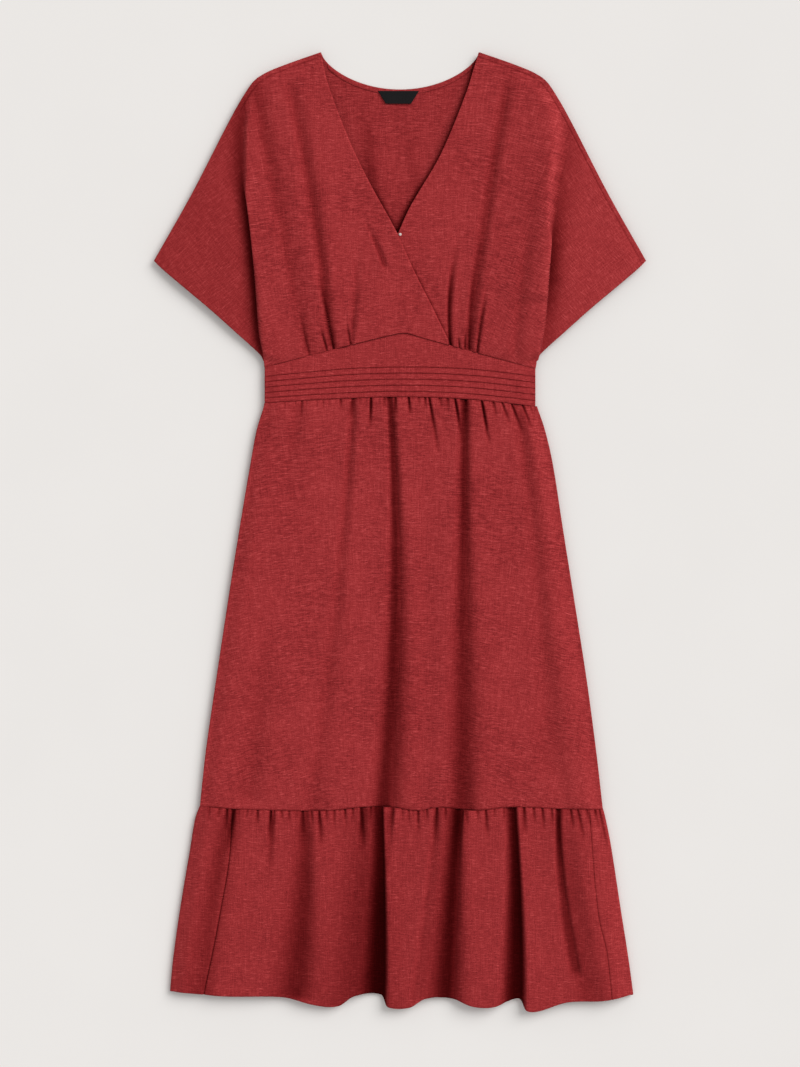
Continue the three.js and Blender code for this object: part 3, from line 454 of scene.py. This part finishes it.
def bodice_back_form(x, y):
    turn = (EDGE_Z - WALL - GAP - BACK_Z) * np.clip(1 - overarm_distance(x, y) / TURN_UP, 0, 1) ** 1.6
    height, lean, light = folds_form(BACK_FOLDS, x, y)
    # painted shadows that the fronts' V edges cast on the back, and painted shade over all of it
    low = smoothstep(-y, -490, -405)
    left = 0.65 * low * np.exp(-((x - upper_wrap_x(y)) / 3) ** 2)
    right = lerp(0.8, 0.93, low) * np.exp(-((lower_wrap_x(y) - x) / lerp(3.4, 6, low)) ** 2)
    return BACK_Z + np.maximum(turn, height), lean, BACK_LIGHT * light * (1 - left) * (1 - right)


def puff(below):
    """The cloth swells where gathers let it go."""
    return GATHER_PUFF * np.exp(-below / PUFF_REACH) * (1 - np.exp(-below / 4))


def skirt_front_form(x, y):
    below, above = np.maximum(waist_y(x) - y, 0), np.maximum(y - tier_y(x), 0)
    folds, lean, light = folds_form(SKIRT_FOLDS, x, y)
    gathers, gather_light = gathers_form(WAIST_GATHERS, x, below, 21)
    cloth = SKIRT_Z + puff(below) + folds + gathers + uneven(x, y, 11) - seam_dip(below) - seam_dip(above)
    z = rolled(soft_max(cloth, LOW_Z), np.minimum(x - skirt_left(y), skirt_right(y) - x))
    # painted shade in the folds, gathers and seams
    return z, lean, light * gather_light * seam_light(below) * seam_light(above)


def ruffle_front_form(x, y):
    below = np.maximum(tier_y(x) - y, 0)
    folds, lean, light = folds_form(RUFFLE_FOLDS, x, y)
    gathers, gather_light = gathers_form(RUFFLE_GATHERS, x, below, 22)
    cloth = RUFFLE_Z + puff(below) + folds + gathers + uneven(x, y, 17) - seam_dip(below)
    left, right = np.abs(x - ruffle_seam_left(y)), np.abs(x - ruffle_seam_right(y))
    cloth -= 1.2 * np.exp(-(left / 1.5) ** 2) + 0.8 * np.exp(-(right / 1.2) ** 2)
    z = rolled(soft_max(cloth, LOW_Z), np.minimum(x - ruffle_left(y), ruffle_right(y) - x))
    # painted shade in the folds, gathers and seams, darker at the left seam
    return z, lean, light * gather_light * seam_light(below) * seam_light(left, 0.6) * seam_light(right, 0.2)


# Meshes

def graded(length, middle, start=None, end=None, reach=50):
    """Shares of a length from 0 to 1, in steps of middle millimetres that shrink towards its ends."""
    s = np.linspace(0, length, 600)
    step = np.full_like(s, middle)
    if start:
        step = np.minimum(step, lerp(start, middle, np.clip(s / reach, 0, 1)))
    if end:
        step = np.minimum(step, lerp(end, middle, np.clip((length - s) / reach, 0, 1)))
    count = np.concatenate([[0], np.cumsum((1 / step[1:] + 1 / step[:-1]) / 2 * np.diff(s))])
    return np.interp(np.linspace(0, count[-1], round(count[-1]) + 1), count, s) / length


def between_sides(left, right, row_y, v, u):
    """Points on bent rows between two side lines."""
    ends = []
    for side in (left, right):
        x = side(row_y(v, 0))
        for _ in range(8):
            x = side(row_y(v, x))
        ends.append(x)
    x = lerp(ends[0][:, None], ends[1][:, None], u)
    return x, row_y(v[:, None], x)


def stack(x, y, z):
    return np.stack(np.broadcast_arrays(x, y, z), axis=-1).astype(float)


def face_normals(outer):
    along = np.gradient(outer, axis=1)
    down = np.gradient(outer, axis=0)
    normal = np.cross(down, along)
    return normal / np.maximum(np.linalg.norm(normal, axis=-1, keepdims=True), 1e-9)


def make_object(name, vertices, faces, material, grain=None, light=None):
    mesh = bpy.data.meshes.new(name)
    mesh.from_pydata((vertices * MM).tolist(), [], faces)
    if grain is not None:
        attribute = mesh.attributes.new("grain", "FLOAT_VECTOR", "POINT")
        attribute.data.foreach_set("vector", (grain * MM).astype(np.float32).ravel())
        # painted shade and painted highlight of each point, which the material multiplies into the colour
        attribute = mesh.attributes.new("light", "FLOAT", "POINT")
        attribute.data.foreach_set("value", light.astype(np.float32))
    mesh.polygons.foreach_set("use_smooth", np.ones(len(mesh.polygons), bool))
    mesh.materials.append(material)
    mesh.update()
    obj = bpy.data.objects.new(name, mesh)
    bpy.context.scene.collection.objects.link(obj)
    return obj


def shell(name, outer, grain, material, light=1.0, wall=WALL, inner_light=1.0):
    """A closed sheet: its outer face, an inner face one wall below and a rounded rim between them."""
    rows, cols = outer.shape[:2]
    inner = outer - wall * face_normals(outer)
    index = np.arange(rows * cols).reshape(rows, cols)
    loop = np.concatenate([index[:-1, 0], index[-1, :-1], index[:0:-1, -1], index[0, :0:-1]])
    outward = np.zeros_like(outer)
    for here, beside in ((np.s_[:, 0], np.s_[:, 1]), (np.s_[:, -1], np.s_[:, -2]),
                         (np.s_[0], np.s_[1]), (np.s_[-1], np.s_[-2])):
        away = outer[here] - outer[beside]
        outward[here] += away / np.maximum(np.linalg.norm(away, axis=-1, keepdims=True), 1e-6)
    flat_outer, flat_inner = outer.reshape(-1, 3), inner.reshape(-1, 3)
    rim_out = outward.reshape(-1, 3)[loop]
    rim_out /= np.maximum(np.linalg.norm(rim_out, axis=-1, keepdims=True), 1e-6)
    rim = (flat_outer[loop] + flat_inner[loop]) / 2 + rim_out * wall / 2
    count = rows * cols
    quads = np.stack([index[:-1, :-1], index[1:, :-1], index[1:, 1:], index[:-1, 1:]], -1).reshape(-1, 4)
    rim_index = 2 * count + np.arange(len(loop))
    turn = lambda a: np.roll(a, -1)
    bands = [np.stack([turn(a), a, b, turn(b)], -1)
             for a, b in ((loop, rim_index), (rim_index, loop + count))]
    faces = np.concatenate([quads, quads[:, ::-1] + count, *bands]).tolist()
    u, v = grain
    threads = stack(u, v, 0).reshape(-1, 3)
    # painted light of the outer face and rim, and of the inner face
    light = np.broadcast_to(light, (rows, cols)).ravel()
    inner_light = np.broadcast_to(inner_light, (rows, cols)).ravel()
    return make_object(
        name, np.concatenate([flat_outer, flat_inner, rim]), faces, material,
        np.concatenate([threads, threads, threads[loop]]), np.concatenate([light, inner_light, light[loop]]))


def formed_shell(name, x, y, form, grain, material):
    """A sheet whose height, sideways lean and painted light come from one function."""
    z, lean, light = form(x, y)
    return shell(name, stack(x + lean, y, z), grain, material, light)


# Grain: where each point lies along the weft and the warp

def arc_grain(x, y, centre_x, centre_y, radius):
    """The weft runs in arcs about a centre."""
    angle = np.arctan2(x - centre_x, y - centre_y)
    return angle * radius, np.hypot(x - centre_x, y - centre_y)


def turned_grain(x, y, degrees):
    c, s = math.cos(math.radians(degrees)), math.sin(math.radians(degrees))
    return x * c + y * s, y * c - x * s


def skirt_grain(x, y):
    return arc_grain(x, y, 0, -1250, 1150)


def front_grain(x, y, side, start, centre_y, edge_x, sleeve_turn):
    """Straight in the middle, in arcs towards the side, and turned on the sleeve."""
    arcs = arc_grain(x, y, start, centre_y, 260)
    sleeve = turned_grain(x, y, sleeve_turn)
    on_arcs, on_sleeve = side * (x - start) > 0, side * (x - edge_x(y)) > 0.5
    return (np.where(on_sleeve, sleeve[0], np.where(on_arcs, arcs[0] + start, x)),
            np.where(on_sleeve, sleeve[1], np.where(on_arcs, arcs[1] + centre_y, y)))


def right_front_grain(x, y):
    return front_grain(x, y, -1, -120, 100, left_sleeve_edge_x, 40)


def left_front_grain(x, y):
    return front_grain(x, y, 1, 60, 96, right_sleeve_edge_x, -52)


# Materials

class Graph:
    """Short names for building a material's nodes."""

    def __init__(self, name):
        self.material = bpy.data.materials.new(name)
        self.material.use_nodes = True
        self.tree = self.material.node_tree
        self.shader = self.tree.nodes["Principled BSDF"]

    def set(self, socket, value):
        if isinstance(value, bpy.types.NodeSocket):
            self.tree.links.new(value, socket)
        else:
            socket.default_value = value

    def node(self, kind, inputs=(), output=0, **settings):
        made = self.tree.nodes.new(kind)
        for key, value in settings.items():
            setattr(made, key, value)
        for key, value in dict(inputs).items():
            self.set(made.inputs[key], value)
        return made.outputs[output]

    def math(self, operation, a, b=0.0, clamp=False):
        return self.node("ShaderNodeMath", {0: a, 1: b}, operation=operation, use_clamp=clamp)

    def noise(self, vector, stretch, detail=2, roughness=0.5, distortion=0.0):
        """Noise with so many humps to the metre along each way of the grain."""
        scaled = self.node("ShaderNodeVectorMath", {0: vector, 1: stretch}, operation="MULTIPLY")
        return self.node("ShaderNodeTexNoise", {
            "Vector": scaled, "Scale": 1.0, "Detail": detail, "Roughness": roughness,
            "Distortion": distortion})

    def centred(self, value, share):
        """Share of how far a noise lies from its middle."""
        return self.math("MULTIPLY", self.math("SUBTRACT", value, 0.5), share)

    def total(self, first, *rest):
        for value in rest:
            first = self.math("ADD", first, value)
        return first

    def ramp(self, value, *stops):
        made = self.tree.nodes.new("ShaderNodeValToRGB")
        elements = made.color_ramp.elements
        while len(elements) < len(stops):
            elements.new(0.5)
        for element, (place, color) in zip(elements, stops):
            element.position = place
            element.color = (*color, 1)
        self.set(made.inputs[0], value)
        return made.outputs[0]


THREAD_PITCH = 0.00055  # metres between threads
CLOTH_SHINE = 0.1
SHADE_DEPTH = (1.0, 1.4, 1.36)  # painted shade per colour: a purer red where little light gets in


def weave(g, grain):
    """Height of plain weave: threads that cross over and under each other."""
    split = g.tree.nodes.new("ShaderNodeSeparateXYZ")
    g.set(split.inputs[0], grain)
    turns = math.pi / THREAD_PITCH
    warp = g.math("SINE", g.math("MULTIPLY", split.outputs[0], turns))
    weft = g.math("SINE", g.math("MULTIPLY", split.outputs[1], turns))
    return g.math("MULTIPLY", warp, weft)


def shaded(g, color):
    """Colour and shine with the painted light of each point: painted shade dims both in the folds."""
    light = g.node("ShaderNodeAttribute", output="Fac", attribute_name="light")
    shares = [g.math("POWER", light, depth) for depth in SHADE_DEPTH]
    shine = g.math("POWER", light, 2)
    shares = g.node("ShaderNodeCombineXYZ", {axis: share for axis, share in enumerate(shares)})
    # painted shade also dims the shine
    g.set(g.shader.inputs["Specular IOR Level"], g.math("MULTIPLY", shine, CLOTH_SHINE))
    return g.node("ShaderNodeVectorMath", {0: color, 1: shares}, operation="MULTIPLY")


def cloth_material(name, crinkled, tone_middle):
    """Slubbed linen-look plain weave: threads, uneven thick yarns, crinkles along the weft."""
    g = Graph(name)
    grain = g.node("ShaderNodeAttribute", output="Vector", attribute_name="grain")
    sway = g.noise(grain, (20, 14, 1), detail=2)
    sway = g.node("ShaderNodeVectorMath", {0: (0.001, 0.009, 0), 1: sway}, operation="MULTIPLY")
    grain = g.node("ShaderNodeVectorMath", {0: grain, 1: sway}, operation="ADD")
    crossing = weave(g, grain)

    specks = g.noise(grain, (760, 820, 1), detail=1)
    slubs = g.noise(grain, (150, 760, 1), detail=1, roughness=0.6)
    thick = g.math("POWER", g.noise(grain, (110, 900, 1), detail=1), 6)
    warp_threads = g.noise(grain, (640, 40, 1), detail=1)
    clouds = g.noise(grain, (22, 30, 1), detail=3, roughness=0.6)
    crinkle = g.noise(grain, (42, 250, 1), detail=2, roughness=0.6, distortion=0.3)
    furrows = g.math("ABSOLUTE", g.centred(crinkle, 8))
    furrows = g.math("POWER", g.math("SUBTRACT", 1, furrows, clamp=True), 2)
    patches = g.ramp(g.noise(grain, (11, 9, 1), detail=2), (0.36, (0.2, 0.2, 0.2)), (0.58, (1, 1, 1)))
    calm = g.node("ShaderNodeAttribute", output="Fac", attribute_name="calm")
    patches = g.math("MULTIPLY", patches, g.math("SUBTRACT", crinkled, g.math("MULTIPLY", calm, 0.9), clamp=True))
    long_weft = g.math("POWER", g.noise(grain, (30, 950, 1), detail=1), 7)
    long_warp = g.math("POWER", g.noise(grain, (950, 30, 1), detail=1), 7)
    long_threads = g.math("MULTIPLY", g.math("ADD", long_weft, g.math("MULTIPLY", long_warp, 0.7)), 1.8)
    furrows = g.math("MULTIPLY", furrows, patches)
    # the crinkles' furrows are bumped and also painted darker in colour: painted shade in the creases
    tone = g.total(
        g.centred(specks, 0.8), g.centred(slubs, 0.36), g.math("MULTIPLY", thick, 2.6),
        g.centred(warp_threads, 0.36), g.centred(clouds, 0.11), g.math("MULTIPLY", furrows, -0.26),
        g.math("MULTIPLY", g.math("SIGN", crossing), 0.04), long_threads, tone_middle)
    g.set(g.shader.inputs["Base Color"], shaded(g, g.ramp(
        tone, (0.1, (0.174, 0.011, 0.013)), (0.5, (0.328, 0.0275, 0.0295)), (0.95, (0.51, 0.067, 0.068)))))

    height = g.total(
        g.math("MULTIPLY", g.math("ABSOLUTE", crossing), 0.12), g.centred(slubs, 0.3),
        g.centred(warp_threads, 0.2), g.math("MULTIPLY", g.centred(crinkle, 0.8), patches),
        g.math("MULTIPLY", furrows, -0.35))
    g.set(g.shader.inputs["Normal"], g.node("ShaderNodeBump", {
        "Height": height, "Strength": 0.7, "Distance": 0.0007}))
    g.shader.inputs["Roughness"].default_value = 0.9
    g.shader.inputs["Sheen Weight"].default_value = 0.03
    g.shader.inputs["Sheen Roughness"].default_value = 0.5
    g.shader.inputs["Sheen Tint"].default_value = (1, 0.4, 0.4, 1)
    return g.material


def label_material():
    """Black woven satin: fine ribs along the ribbon."""
    g = Graph("label_satin")
    grain = g.node("ShaderNodeAttribute", output="Vector", attribute_name="grain")
    split = g.tree.nodes.new("ShaderNodeSeparateXYZ")
    g.set(split.inputs[0], grain)
    ribs = g.math("SINE", g.math("MULTIPLY", split.outputs[1], 2 * math.pi / 0.0004))
    floats = g.noise(grain, (600, 2600, 1), detail=1)
    g.set(g.shader.inputs["Base Color"], g.ramp(
        floats, (0.3, (0.004, 0.004, 0.004)), (0.7, (0.012, 0.011, 0.012))))
    height = g.total(g.math("MULTIPLY", ribs, 0.3), g.centred(floats, 0.6))
    g.set(g.shader.inputs["Normal"], g.node("ShaderNodeBump", {
        "Height": height, "Strength": 0.5, "Distance": 0.0001}))
    g.shader.inputs["Roughness"].default_value = 0.5
    g.shader.inputs["Specular IOR Level"].default_value = 0.08
    return g.material


def pearl_material():
    g = Graph("pearl")
    place = g.node("ShaderNodeTexCoord", output="Object")
    clouds = g.noise(place, (900, 900, 900), detail=2)
    g.set(g.shader.inputs["Base Color"], g.ramp(
        clouds, (0.3, (0.58, 0.46, 0.42)), (0.7, (0.74, 0.66, 0.62))))
    g.set(g.shader.inputs["Roughness"], g.math("ADD", g.centred(clouds, 0.1), 0.25))
    g.shader.inputs["Coat Weight"].default_value = 0.6
    g.shader.inputs["Coat Roughness"].default_value = 0.12
    return g.material


def floor_material():
    g = Graph("floor_paper")
    place = g.node("ShaderNodeTexCoord", output="Object")
    clouds = g.noise(place, (6, 6, 6), detail=2)
    g.set(g.shader.inputs["Base Color"], g.ramp(
        clouds, (0.3, (0.79, 0.765, 0.742)), (0.7, (0.8, 0.775, 0.752))))
    g.shader.inputs["Roughness"].default_value = 0.95
    g.shader.inputs["Specular IOR Level"].default_value = 0.1
    return g.material


CLOTH = cloth_material("red_slub_weave", 1.0, 0.42)
CALM_CLOTH = cloth_material("red_slub_weave_calm", 0.35, 0.35)  # less crinkled: midriff, ruffle and facing


# Bodice

STRAIGHT_FROM = 270
ROW_END = 230


def front_row_y(s, x):
    """Rows are straight down to one height, and below it they bend to follow the midriff seam."""
    seam = midriff_top_y(x) + 0.1
    return np.where(s >= STRAIGHT_FROM, s, lerp(seam, STRAIGHT_FROM, (s - ROW_END) / (STRAIGHT_FROM - ROW_END)))


def bodice_rows():
    top = lerp(NECK_Y, CORNER_Y, graded(NECK_Y - CORNER_Y, 2.8, start=1.2, reach=20))
    low = lerp(CORNER_Y, ROW_END, graded(CORNER_Y - ROW_END, 2.4, end=0.9, reach=40))
    return np.concatenate([top, low[1:]])


def calm_sleeve(panel, side_sign, sleeve_edge_x):
    """Marks the cloth of the sleeve, which is smoother than the body's."""
    places = np.empty(len(panel.data.vertices) * 3, np.float32)
    panel.data.vertices.foreach_get("co", places)
    x, y, _ = places.reshape(-1, 3).T / MM
    calm = smoothstep(side_sign * (x - sleeve_edge_x(y)), -6, 3)
    panel.data.attributes.new("calm", "FLOAT", "POINT").data.foreach_set("value", calm.astype(np.float32))


def front_panel(name, side_sign, wrap_x, form, grain, sleeve_edge_x, columns):
    side = lambda y: side_sign * bodice_out(y)
    left, right = (side, wrap_x) if side_sign < 0 else (wrap_x, side)
    x, y = between_sides(left, right, front_row_y, bodice_rows(), np.linspace(0, 1, columns))
    panel = formed_shell(name, x, y, form, grain(x, y), CLOTH)
    calm_sleeve(panel, side_sign, sleeve_edge_x)
    return panel


front_right = front_panel("front_right_cloth", -1, upper_wrap_x, upper_front, right_front_grain,
                          left_sleeve_edge_x, 250)
front_left = front_panel("front_left_cloth", 1, lower_wrap_x, lower_front, left_front_grain,
                         right_sleeve_edge_x, 235)

back_x = np.concatenate([
    lerp(-313, -NECK_HALF, graded(313 - NECK_HALF, 4.5, start=2, end=2, reach=20)),
    np.linspace(-NECK_HALF, NECK_HALF, 90)[1:-1],
    lerp(NECK_HALF, 313, graded(313 - NECK_HALF, 4.5, start=2, end=2, reach=20))])
overarm_y = curve(OVERARM, "out", "y")
cuff_y = curve(CUFF, "out", "y")


def bodice_back_outline(x):
    out = np.abs(x)
    low = np.where(out > WAIST_HALF + 0.5, cuff_y(out), midriff_top_y(x) + 0.1)
    high = np.where(out >= NECK_HALF, overarm_y(out), neck_y(x))
    return np.maximum(high, low + 0.5), low


back_high, back_low = bodice_back_outline(back_x)
back_v = graded(330, 5, start=1.5, end=3, reach=30)[:, None]
back_px, back_py = np.broadcast_arrays(back_x[None, :], lerp(back_high, back_low, back_v))
bodice_back = formed_shell(
    "bodice_back_cloth", back_px, back_py, bodice_back_form, (back_px, back_py), CLOTH)

# Neck facing and label

FACING_WIDTH = 6
facing_u = np.sin(np.linspace(-0.5, 0.5, 140) * math.pi)
facing_x = 92 * facing_u[None, :] * np.ones((9, 1))
facing_across = np.linspace(0, 1, 9)[:, None]
facing_y = neck_y(facing_x) - 0.3 - FACING_WIDTH * facing_across
facing_swell = 0.5 * np.sin(math.pi * facing_across) ** 0.5
facing_z = bodice_back_form(facing_x, facing_y)[0] + 0.7 + facing_swell
neck_facing = shell(
    "neck_facing_cloth", stack(facing_x, facing_y, facing_z), (facing_x, facing_y), CALM_CLOTH, wall=0.5)

LABEL_X, LABEL_Y, LABEL_TOP_HALF, LABEL_LOW_HALF, LABEL_HEIGHT = -2, 562, 26, 16, 16
label_v = np.linspace(0, 1, 25)[:, None]
label_half = lerp(LABEL_TOP_HALF, LABEL_LOW_HALF, label_v)
label_x = LABEL_X + label_half * np.linspace(-1, 1, 61)[None, :]
label_y = LABEL_Y - LABEL_HEIGHT * label_v + 0 * label_x
label_z = bodice_back_form(label_x, label_y)[0] + 1.9 + 0.25 * relief(label_x, label_y, 14, 9, 5)
neck_label = shell(
    "neck_label_ribbon", stack(label_x, label_y, label_z), (label_x, label_y), label_material(), wall=0.45)

# Midriff

# Each tuck's lip, as distances above the tuck line and heights.
TUCK_PROFILE = [(3.2, 0.5), (1.6, 0.75), (0.7, 0.85), (0.15, 0.7), (-0.1, 0.4), (-0.15, 0),
                (-0.5, -0.15), (-1.1, -0.05), (-2.2, 0.1)]


def midriff_panel(name):
    u = np.linspace(0, 1, 265)
    x = lerp(-WAIST_HALF, WAIST_HALF, u)
    top, first, waist = midriff_top_y(x), first_tuck_y(x), waist_y(x)
    rows, heights = [], []
    for share in np.linspace(0, 1, 14)[:-1]:
        y = lerp(top, first + 4, share)
        rows.append(y)
        heights.append(lerp(0, 0.6, share) - seam_dip(top - y, 1.0, 6))
    for tuck in range(TUCKS):
        line = lerp(first, waist, tuck / TUCKS)
        for above, height in TUCK_PROFILE:
            rows.append(line + above)
            heights.append(height + 0 * x)
    for above, height in ((4, 0.55), (2.5, 0.7), (1.2, 0.5), (0.3, 0.1)):
        rows.append(waist + above)
        heights.append(height + 0 * x)
    y, rise = np.array(rows), np.array(heights)
    x = np.broadcast_to(x, y.shape)
    inside = MIDRIFF_Z + rise + 0.35 * relief(x, y, 45, 60, 9)
    z = rolled(inside, WAIST_HALF + 2 - np.abs(x)) + 0.4 * rise * (np.abs(x) > WAIST_HALF - EDGE_FLAT)
    # painted shade along the seams and in the tuck lines
    lines = [seam_light(top - y, 0.2), seam_light(y - waist)]
    lines += [seam_light(y - lerp(first, waist, tuck / TUCKS) + 0.3, 0.38, 0.6) for tuck in range(TUCKS)]
    return shell(name, stack(x, y, z), (x, y), CALM_CLOTH, np.prod(lines, axis=0))


midriff_front = midriff_panel("midriff_front_cloth")


def under_gathers(gathers, x, below, seed):
    """Gathers of the back, which lies flat: shallow furrows in its underside, and their painted shade."""
    height, light = gathers_form(gathers, x, below, seed)
    return -UNDER_GATHER * height, light * seam_light(below)


def back_panel(name, left, right, row_y, v, grain, gathers=None, columns=60):
    """A back panel: flat on the surface, and turned up along both side seams."""
    x, y = between_sides(left, right, row_y, v, np.sin(np.linspace(-0.5, 0.5, columns) * math.pi) / 2 + 0.5)
    near = np.minimum(x - x[:, :1], x[:, -1:] - x)
    turn = np.clip(1 - near / TURN_UP, 0, 1) ** 1.6
    z = BACK_Z + (EDGE_Z - WALL - GAP - BACK_Z) * turn
    below = np.maximum(row_y(0, x) - y, 0)
    # painted shade of the gathers and seams goes on the face underneath
    furrows, light = under_gathers(gathers, x, below, 23) if gathers else (0, seam_light(below))
    return shell(name, stack(x, y, z + furrows), grain(x, y), CLOTH,
                 inner_light=light * seam_light(y - row_y(1, x)))


waist_line = lambda sign: (lambda y: sign * WAIST_HALF + 0 * y)
midriff_back = back_panel(
    "midriff_back_cloth", waist_line(-1), waist_line(1),
    lambda v, x: lerp(midriff_top_y(x), waist_y(x) + 0.1, v), np.linspace(0, 1, 16), lambda x, y: (x, y))

# Skirt


def skirt_row_y(v, x):
    return lerp(waist_y(x), tier_y(x) + 0.1, v)


skirt_v = graded(523, 6.5, start=1.1, end=2, reach=60)
skirt_px, skirt_py = between_sides(skirt_left, skirt_right, skirt_row_y, skirt_v, np.linspace(0, 1, 345))
skirt_front = formed_shell(
    "skirt_front_cloth", skirt_px, skirt_py, skirt_front_form, skirt_grain(skirt_px, skirt_py), CLOTH)
skirt_back = back_panel(
    "skirt_back_cloth", skirt_left, skirt_right, skirt_row_y, graded(523, 9, start=1.5, end=3, reach=60),
    skirt_grain, WAIST_GATHERS, columns=220)

# Hem ruffle


def ruffle_row_y(v, x):
    return lerp(tier_y(x), hem_y(x), v)


ruffle_v = graded(245, 4, start=1.1, end=2, reach=50)
ruffle_px, ruffle_py = between_sides(
    ruffle_seam_left, ruffle_seam_right, ruffle_row_y, ruffle_v, np.linspace(0, 1, 400))
ruffle_front = formed_shell(
    "ruffle_front_cloth", ruffle_px, ruffle_py, ruffle_front_form, (ruffle_px, ruffle_py), CALM_CLOTH)

TURN_RADIUS = EDGE_Z / 2


def ruffle_back_panel(name):
    """The back ruffle starts at the right seam, goes round the right side, under and up to the left seam."""
    ends = {}
    for key, side, inset in (("left", ruffle_left, TURN_RADIUS), ("right", ruffle_right, -TURN_RADIUS),
                             ("seam_left", ruffle_seam_left, -0.1), ("seam_right", ruffle_seam_right, 0.1)):
        x = side(ruffle_row_y(ruffle_v, 0))
        for _ in range(8):
            x = side(ruffle_row_y(ruffle_v, x))
        ends[key] = (x + inset)[:, None]
    v = ruffle_v[:, None]

    def strip(start, stop, count):
        x = lerp(start, stop, np.linspace(0, 1, count))
        y = ruffle_row_y(v, x)
        # the strips take the front's painted shade
        z, lean, light = ruffle_front_form(x, y)
        return stack(x, y, z), light

    def turn(x, outwards, angles):
        y = ruffle_row_y(v, x)
        angle = angles[None, :]
        points = stack(x + outwards * TURN_RADIUS * np.sin(angle), y,
                       TURN_RADIUS + TURN_RADIUS * np.cos(angle))
        return points, np.ones(points.shape[:2])

    under_x = lerp(ends["right"], ends["left"], np.linspace(0, 1, 250))
    near = np.minimum(ends["right"] - under_x, under_x - ends["left"])
    low_y = lerp(tier_y(under_x), BACK_HEM_Y, v)
    under_y = lerp(ruffle_row_y(v, under_x), low_y, smoothstep(near, 0, 30))
    under_z, under_light = under_gathers(
        RUFFLE_GATHERS, under_x, np.maximum(tier_y(under_x) - under_y, 0), 24)
    angles = np.linspace(0, math.pi, 9)[1:-1]
    stretches = [
        strip(ends["seam_right"], ends["right"], 18),
        turn(ends["right"], 1, angles),
        (stack(under_x, under_y, under_z), under_light),
        turn(ends["left"], -1, angles[::-1]),
        strip(ends["left"], ends["seam_left"], 42)]
    outer = np.concatenate([points for points, _ in stretches], axis=1)
    light = np.concatenate([light for _, light in stretches], axis=1)
    return shell(name, outer, (outer[..., 0], outer[..., 1]), CALM_CLOTH, light)


ruffle_back = ruffle_back_panel("ruffle_back_cloth")

# Snap

# Distances out and heights, from the socket's foot to the top of the stud
SNAP_PROFILE = [(1.6, 0), (1.8, 0.3), (1.8, 0.6), (1.6, 0.85), (1.3, 0.95), (1, 0.8), (0.85, 0.9),
                (0.7, 1.3), (0.45, 1.6), (0.15, 1.7)]


def lathe(name, profile, centre, material, sides=32):
    """A turned piece, from distances out and heights."""
    angles = np.linspace(0, 2 * math.pi, sides, endpoint=False)
    out, up = np.array(profile, float).T
    ring = stack(np.outer(out, np.cos(angles)), np.outer(out, np.sin(angles)), np.outer(up, np.ones(sides)))
    vertices = np.concatenate([ring.reshape(-1, 3), [[0, 0, profile[0][1]], [0, 0, profile[-1][1]]]])
    index = np.arange(len(profile) * sides).reshape(len(profile), sides)
    after = np.roll(index, -1, axis=1)
    faces = np.stack([index[:-1], after[:-1], after[1:], index[1:]], -1).reshape(-1, 4).tolist()
    low, high = len(vertices) - 2, len(vertices) - 1
    faces += [(b, a, low) for a, b in zip(index[0], after[0])]
    faces += [(a, b, high) for a, b in zip(index[-1], after[-1])]
    return make_object(name, vertices + np.array(centre), faces, material)


snap_z = float(lower_front(np.array(SNAP_X), np.array(SNAP_Y))[0]) + 0.2
snap = lathe("snap_stud", SNAP_PROFILE, (SNAP_X, SNAP_Y, snap_z), pearl_material())

# Pieces on the frame

PIECES = {
    front_right: ("bodice_front_right", "cloth"),
    front_left: ("bodice_front_left", "cloth"),
    bodice_back: ("bodice_back", "cloth"),
    neck_facing: ("neck_facing", "cloth"),
    neck_label: ("neck_label", "label"),
    midriff_front: ("midriff_front", "cloth"),
    midriff_back: ("midriff_back", "cloth"),
    skirt_front: ("skirt_front", "cloth"),
    skirt_back: ("skirt_back", "cloth"),
    ruffle_front: ("ruffle_front", "cloth"),
    ruffle_back: ("ruffle_back", "cloth"),
    snap: ("snap", "stud"),
}
for piece, (cad_node, slot) in PIECES.items():
    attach(piece, "root")
    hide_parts(cad_node)

# Floor, light and camera

FLOOR_HALF = 3.0
floor_mesh = bpy.data.meshes.new("floor")
floor_mesh.from_pydata(
    [(-FLOOR_HALF, -FLOOR_HALF, 0), (FLOOR_HALF, -FLOOR_HALF, 0), (FLOOR_HALF, FLOOR_HALF, 0),
     (-FLOOR_HALF, FLOOR_HALF, 0)], [], [(0, 1, 2, 3)])
floor_mesh.materials.append(floor_material())
floor = bpy.data.objects.new("floor", floor_mesh)
floor.location.z = -0.0002
bpy.context.scene.collection.objects.link(floor)

LIGHT_AZIMUTH, LIGHT_ELEVATION, LIGHT_SPREAD = 40, 38, 40  # degrees; azimuth from +X towards +Y
sun = bpy.data.lights.new("key", "SUN")
sun.energy = 2.15
sun.angle = math.radians(LIGHT_SPREAD)
key = bpy.data.objects.new("key", sun)
key.rotation_euler = (0, math.radians(90 - LIGHT_ELEVATION), math.radians(LIGHT_AZIMUTH))
bpy.context.scene.collection.objects.link(key)

world = bpy.data.worlds.new("studio")
world.use_nodes = True
world.node_tree.nodes["Background"].inputs["Color"].default_value = (1, 1, 1, 1)
world.node_tree.nodes["Background"].inputs["Strength"].default_value = 0.62
bpy.context.scene.world = world
bpy.context.scene.view_settings.view_transform = "Standard"

# The photo's frame is 1067 pixels high at 1.275 mm to the pixel, and its middle is 2.55 mm below the origin.
FRAME_HEIGHT = 1067 * 1.275
FRAME_CENTRE_Y = -2.55
camera = bpy.data.cameras.new("camera")
camera.lens = 85
camera.sensor_width = 36
shot = bpy.data.objects.new("camera", camera)
shot.location = (0, FRAME_CENTRE_Y * MM, FRAME_HEIGHT * MM * camera.lens / camera.sensor_width + 0.005)
bpy.context.scene.collection.objects.link(shot)
bpy.context.scene.camera = shot
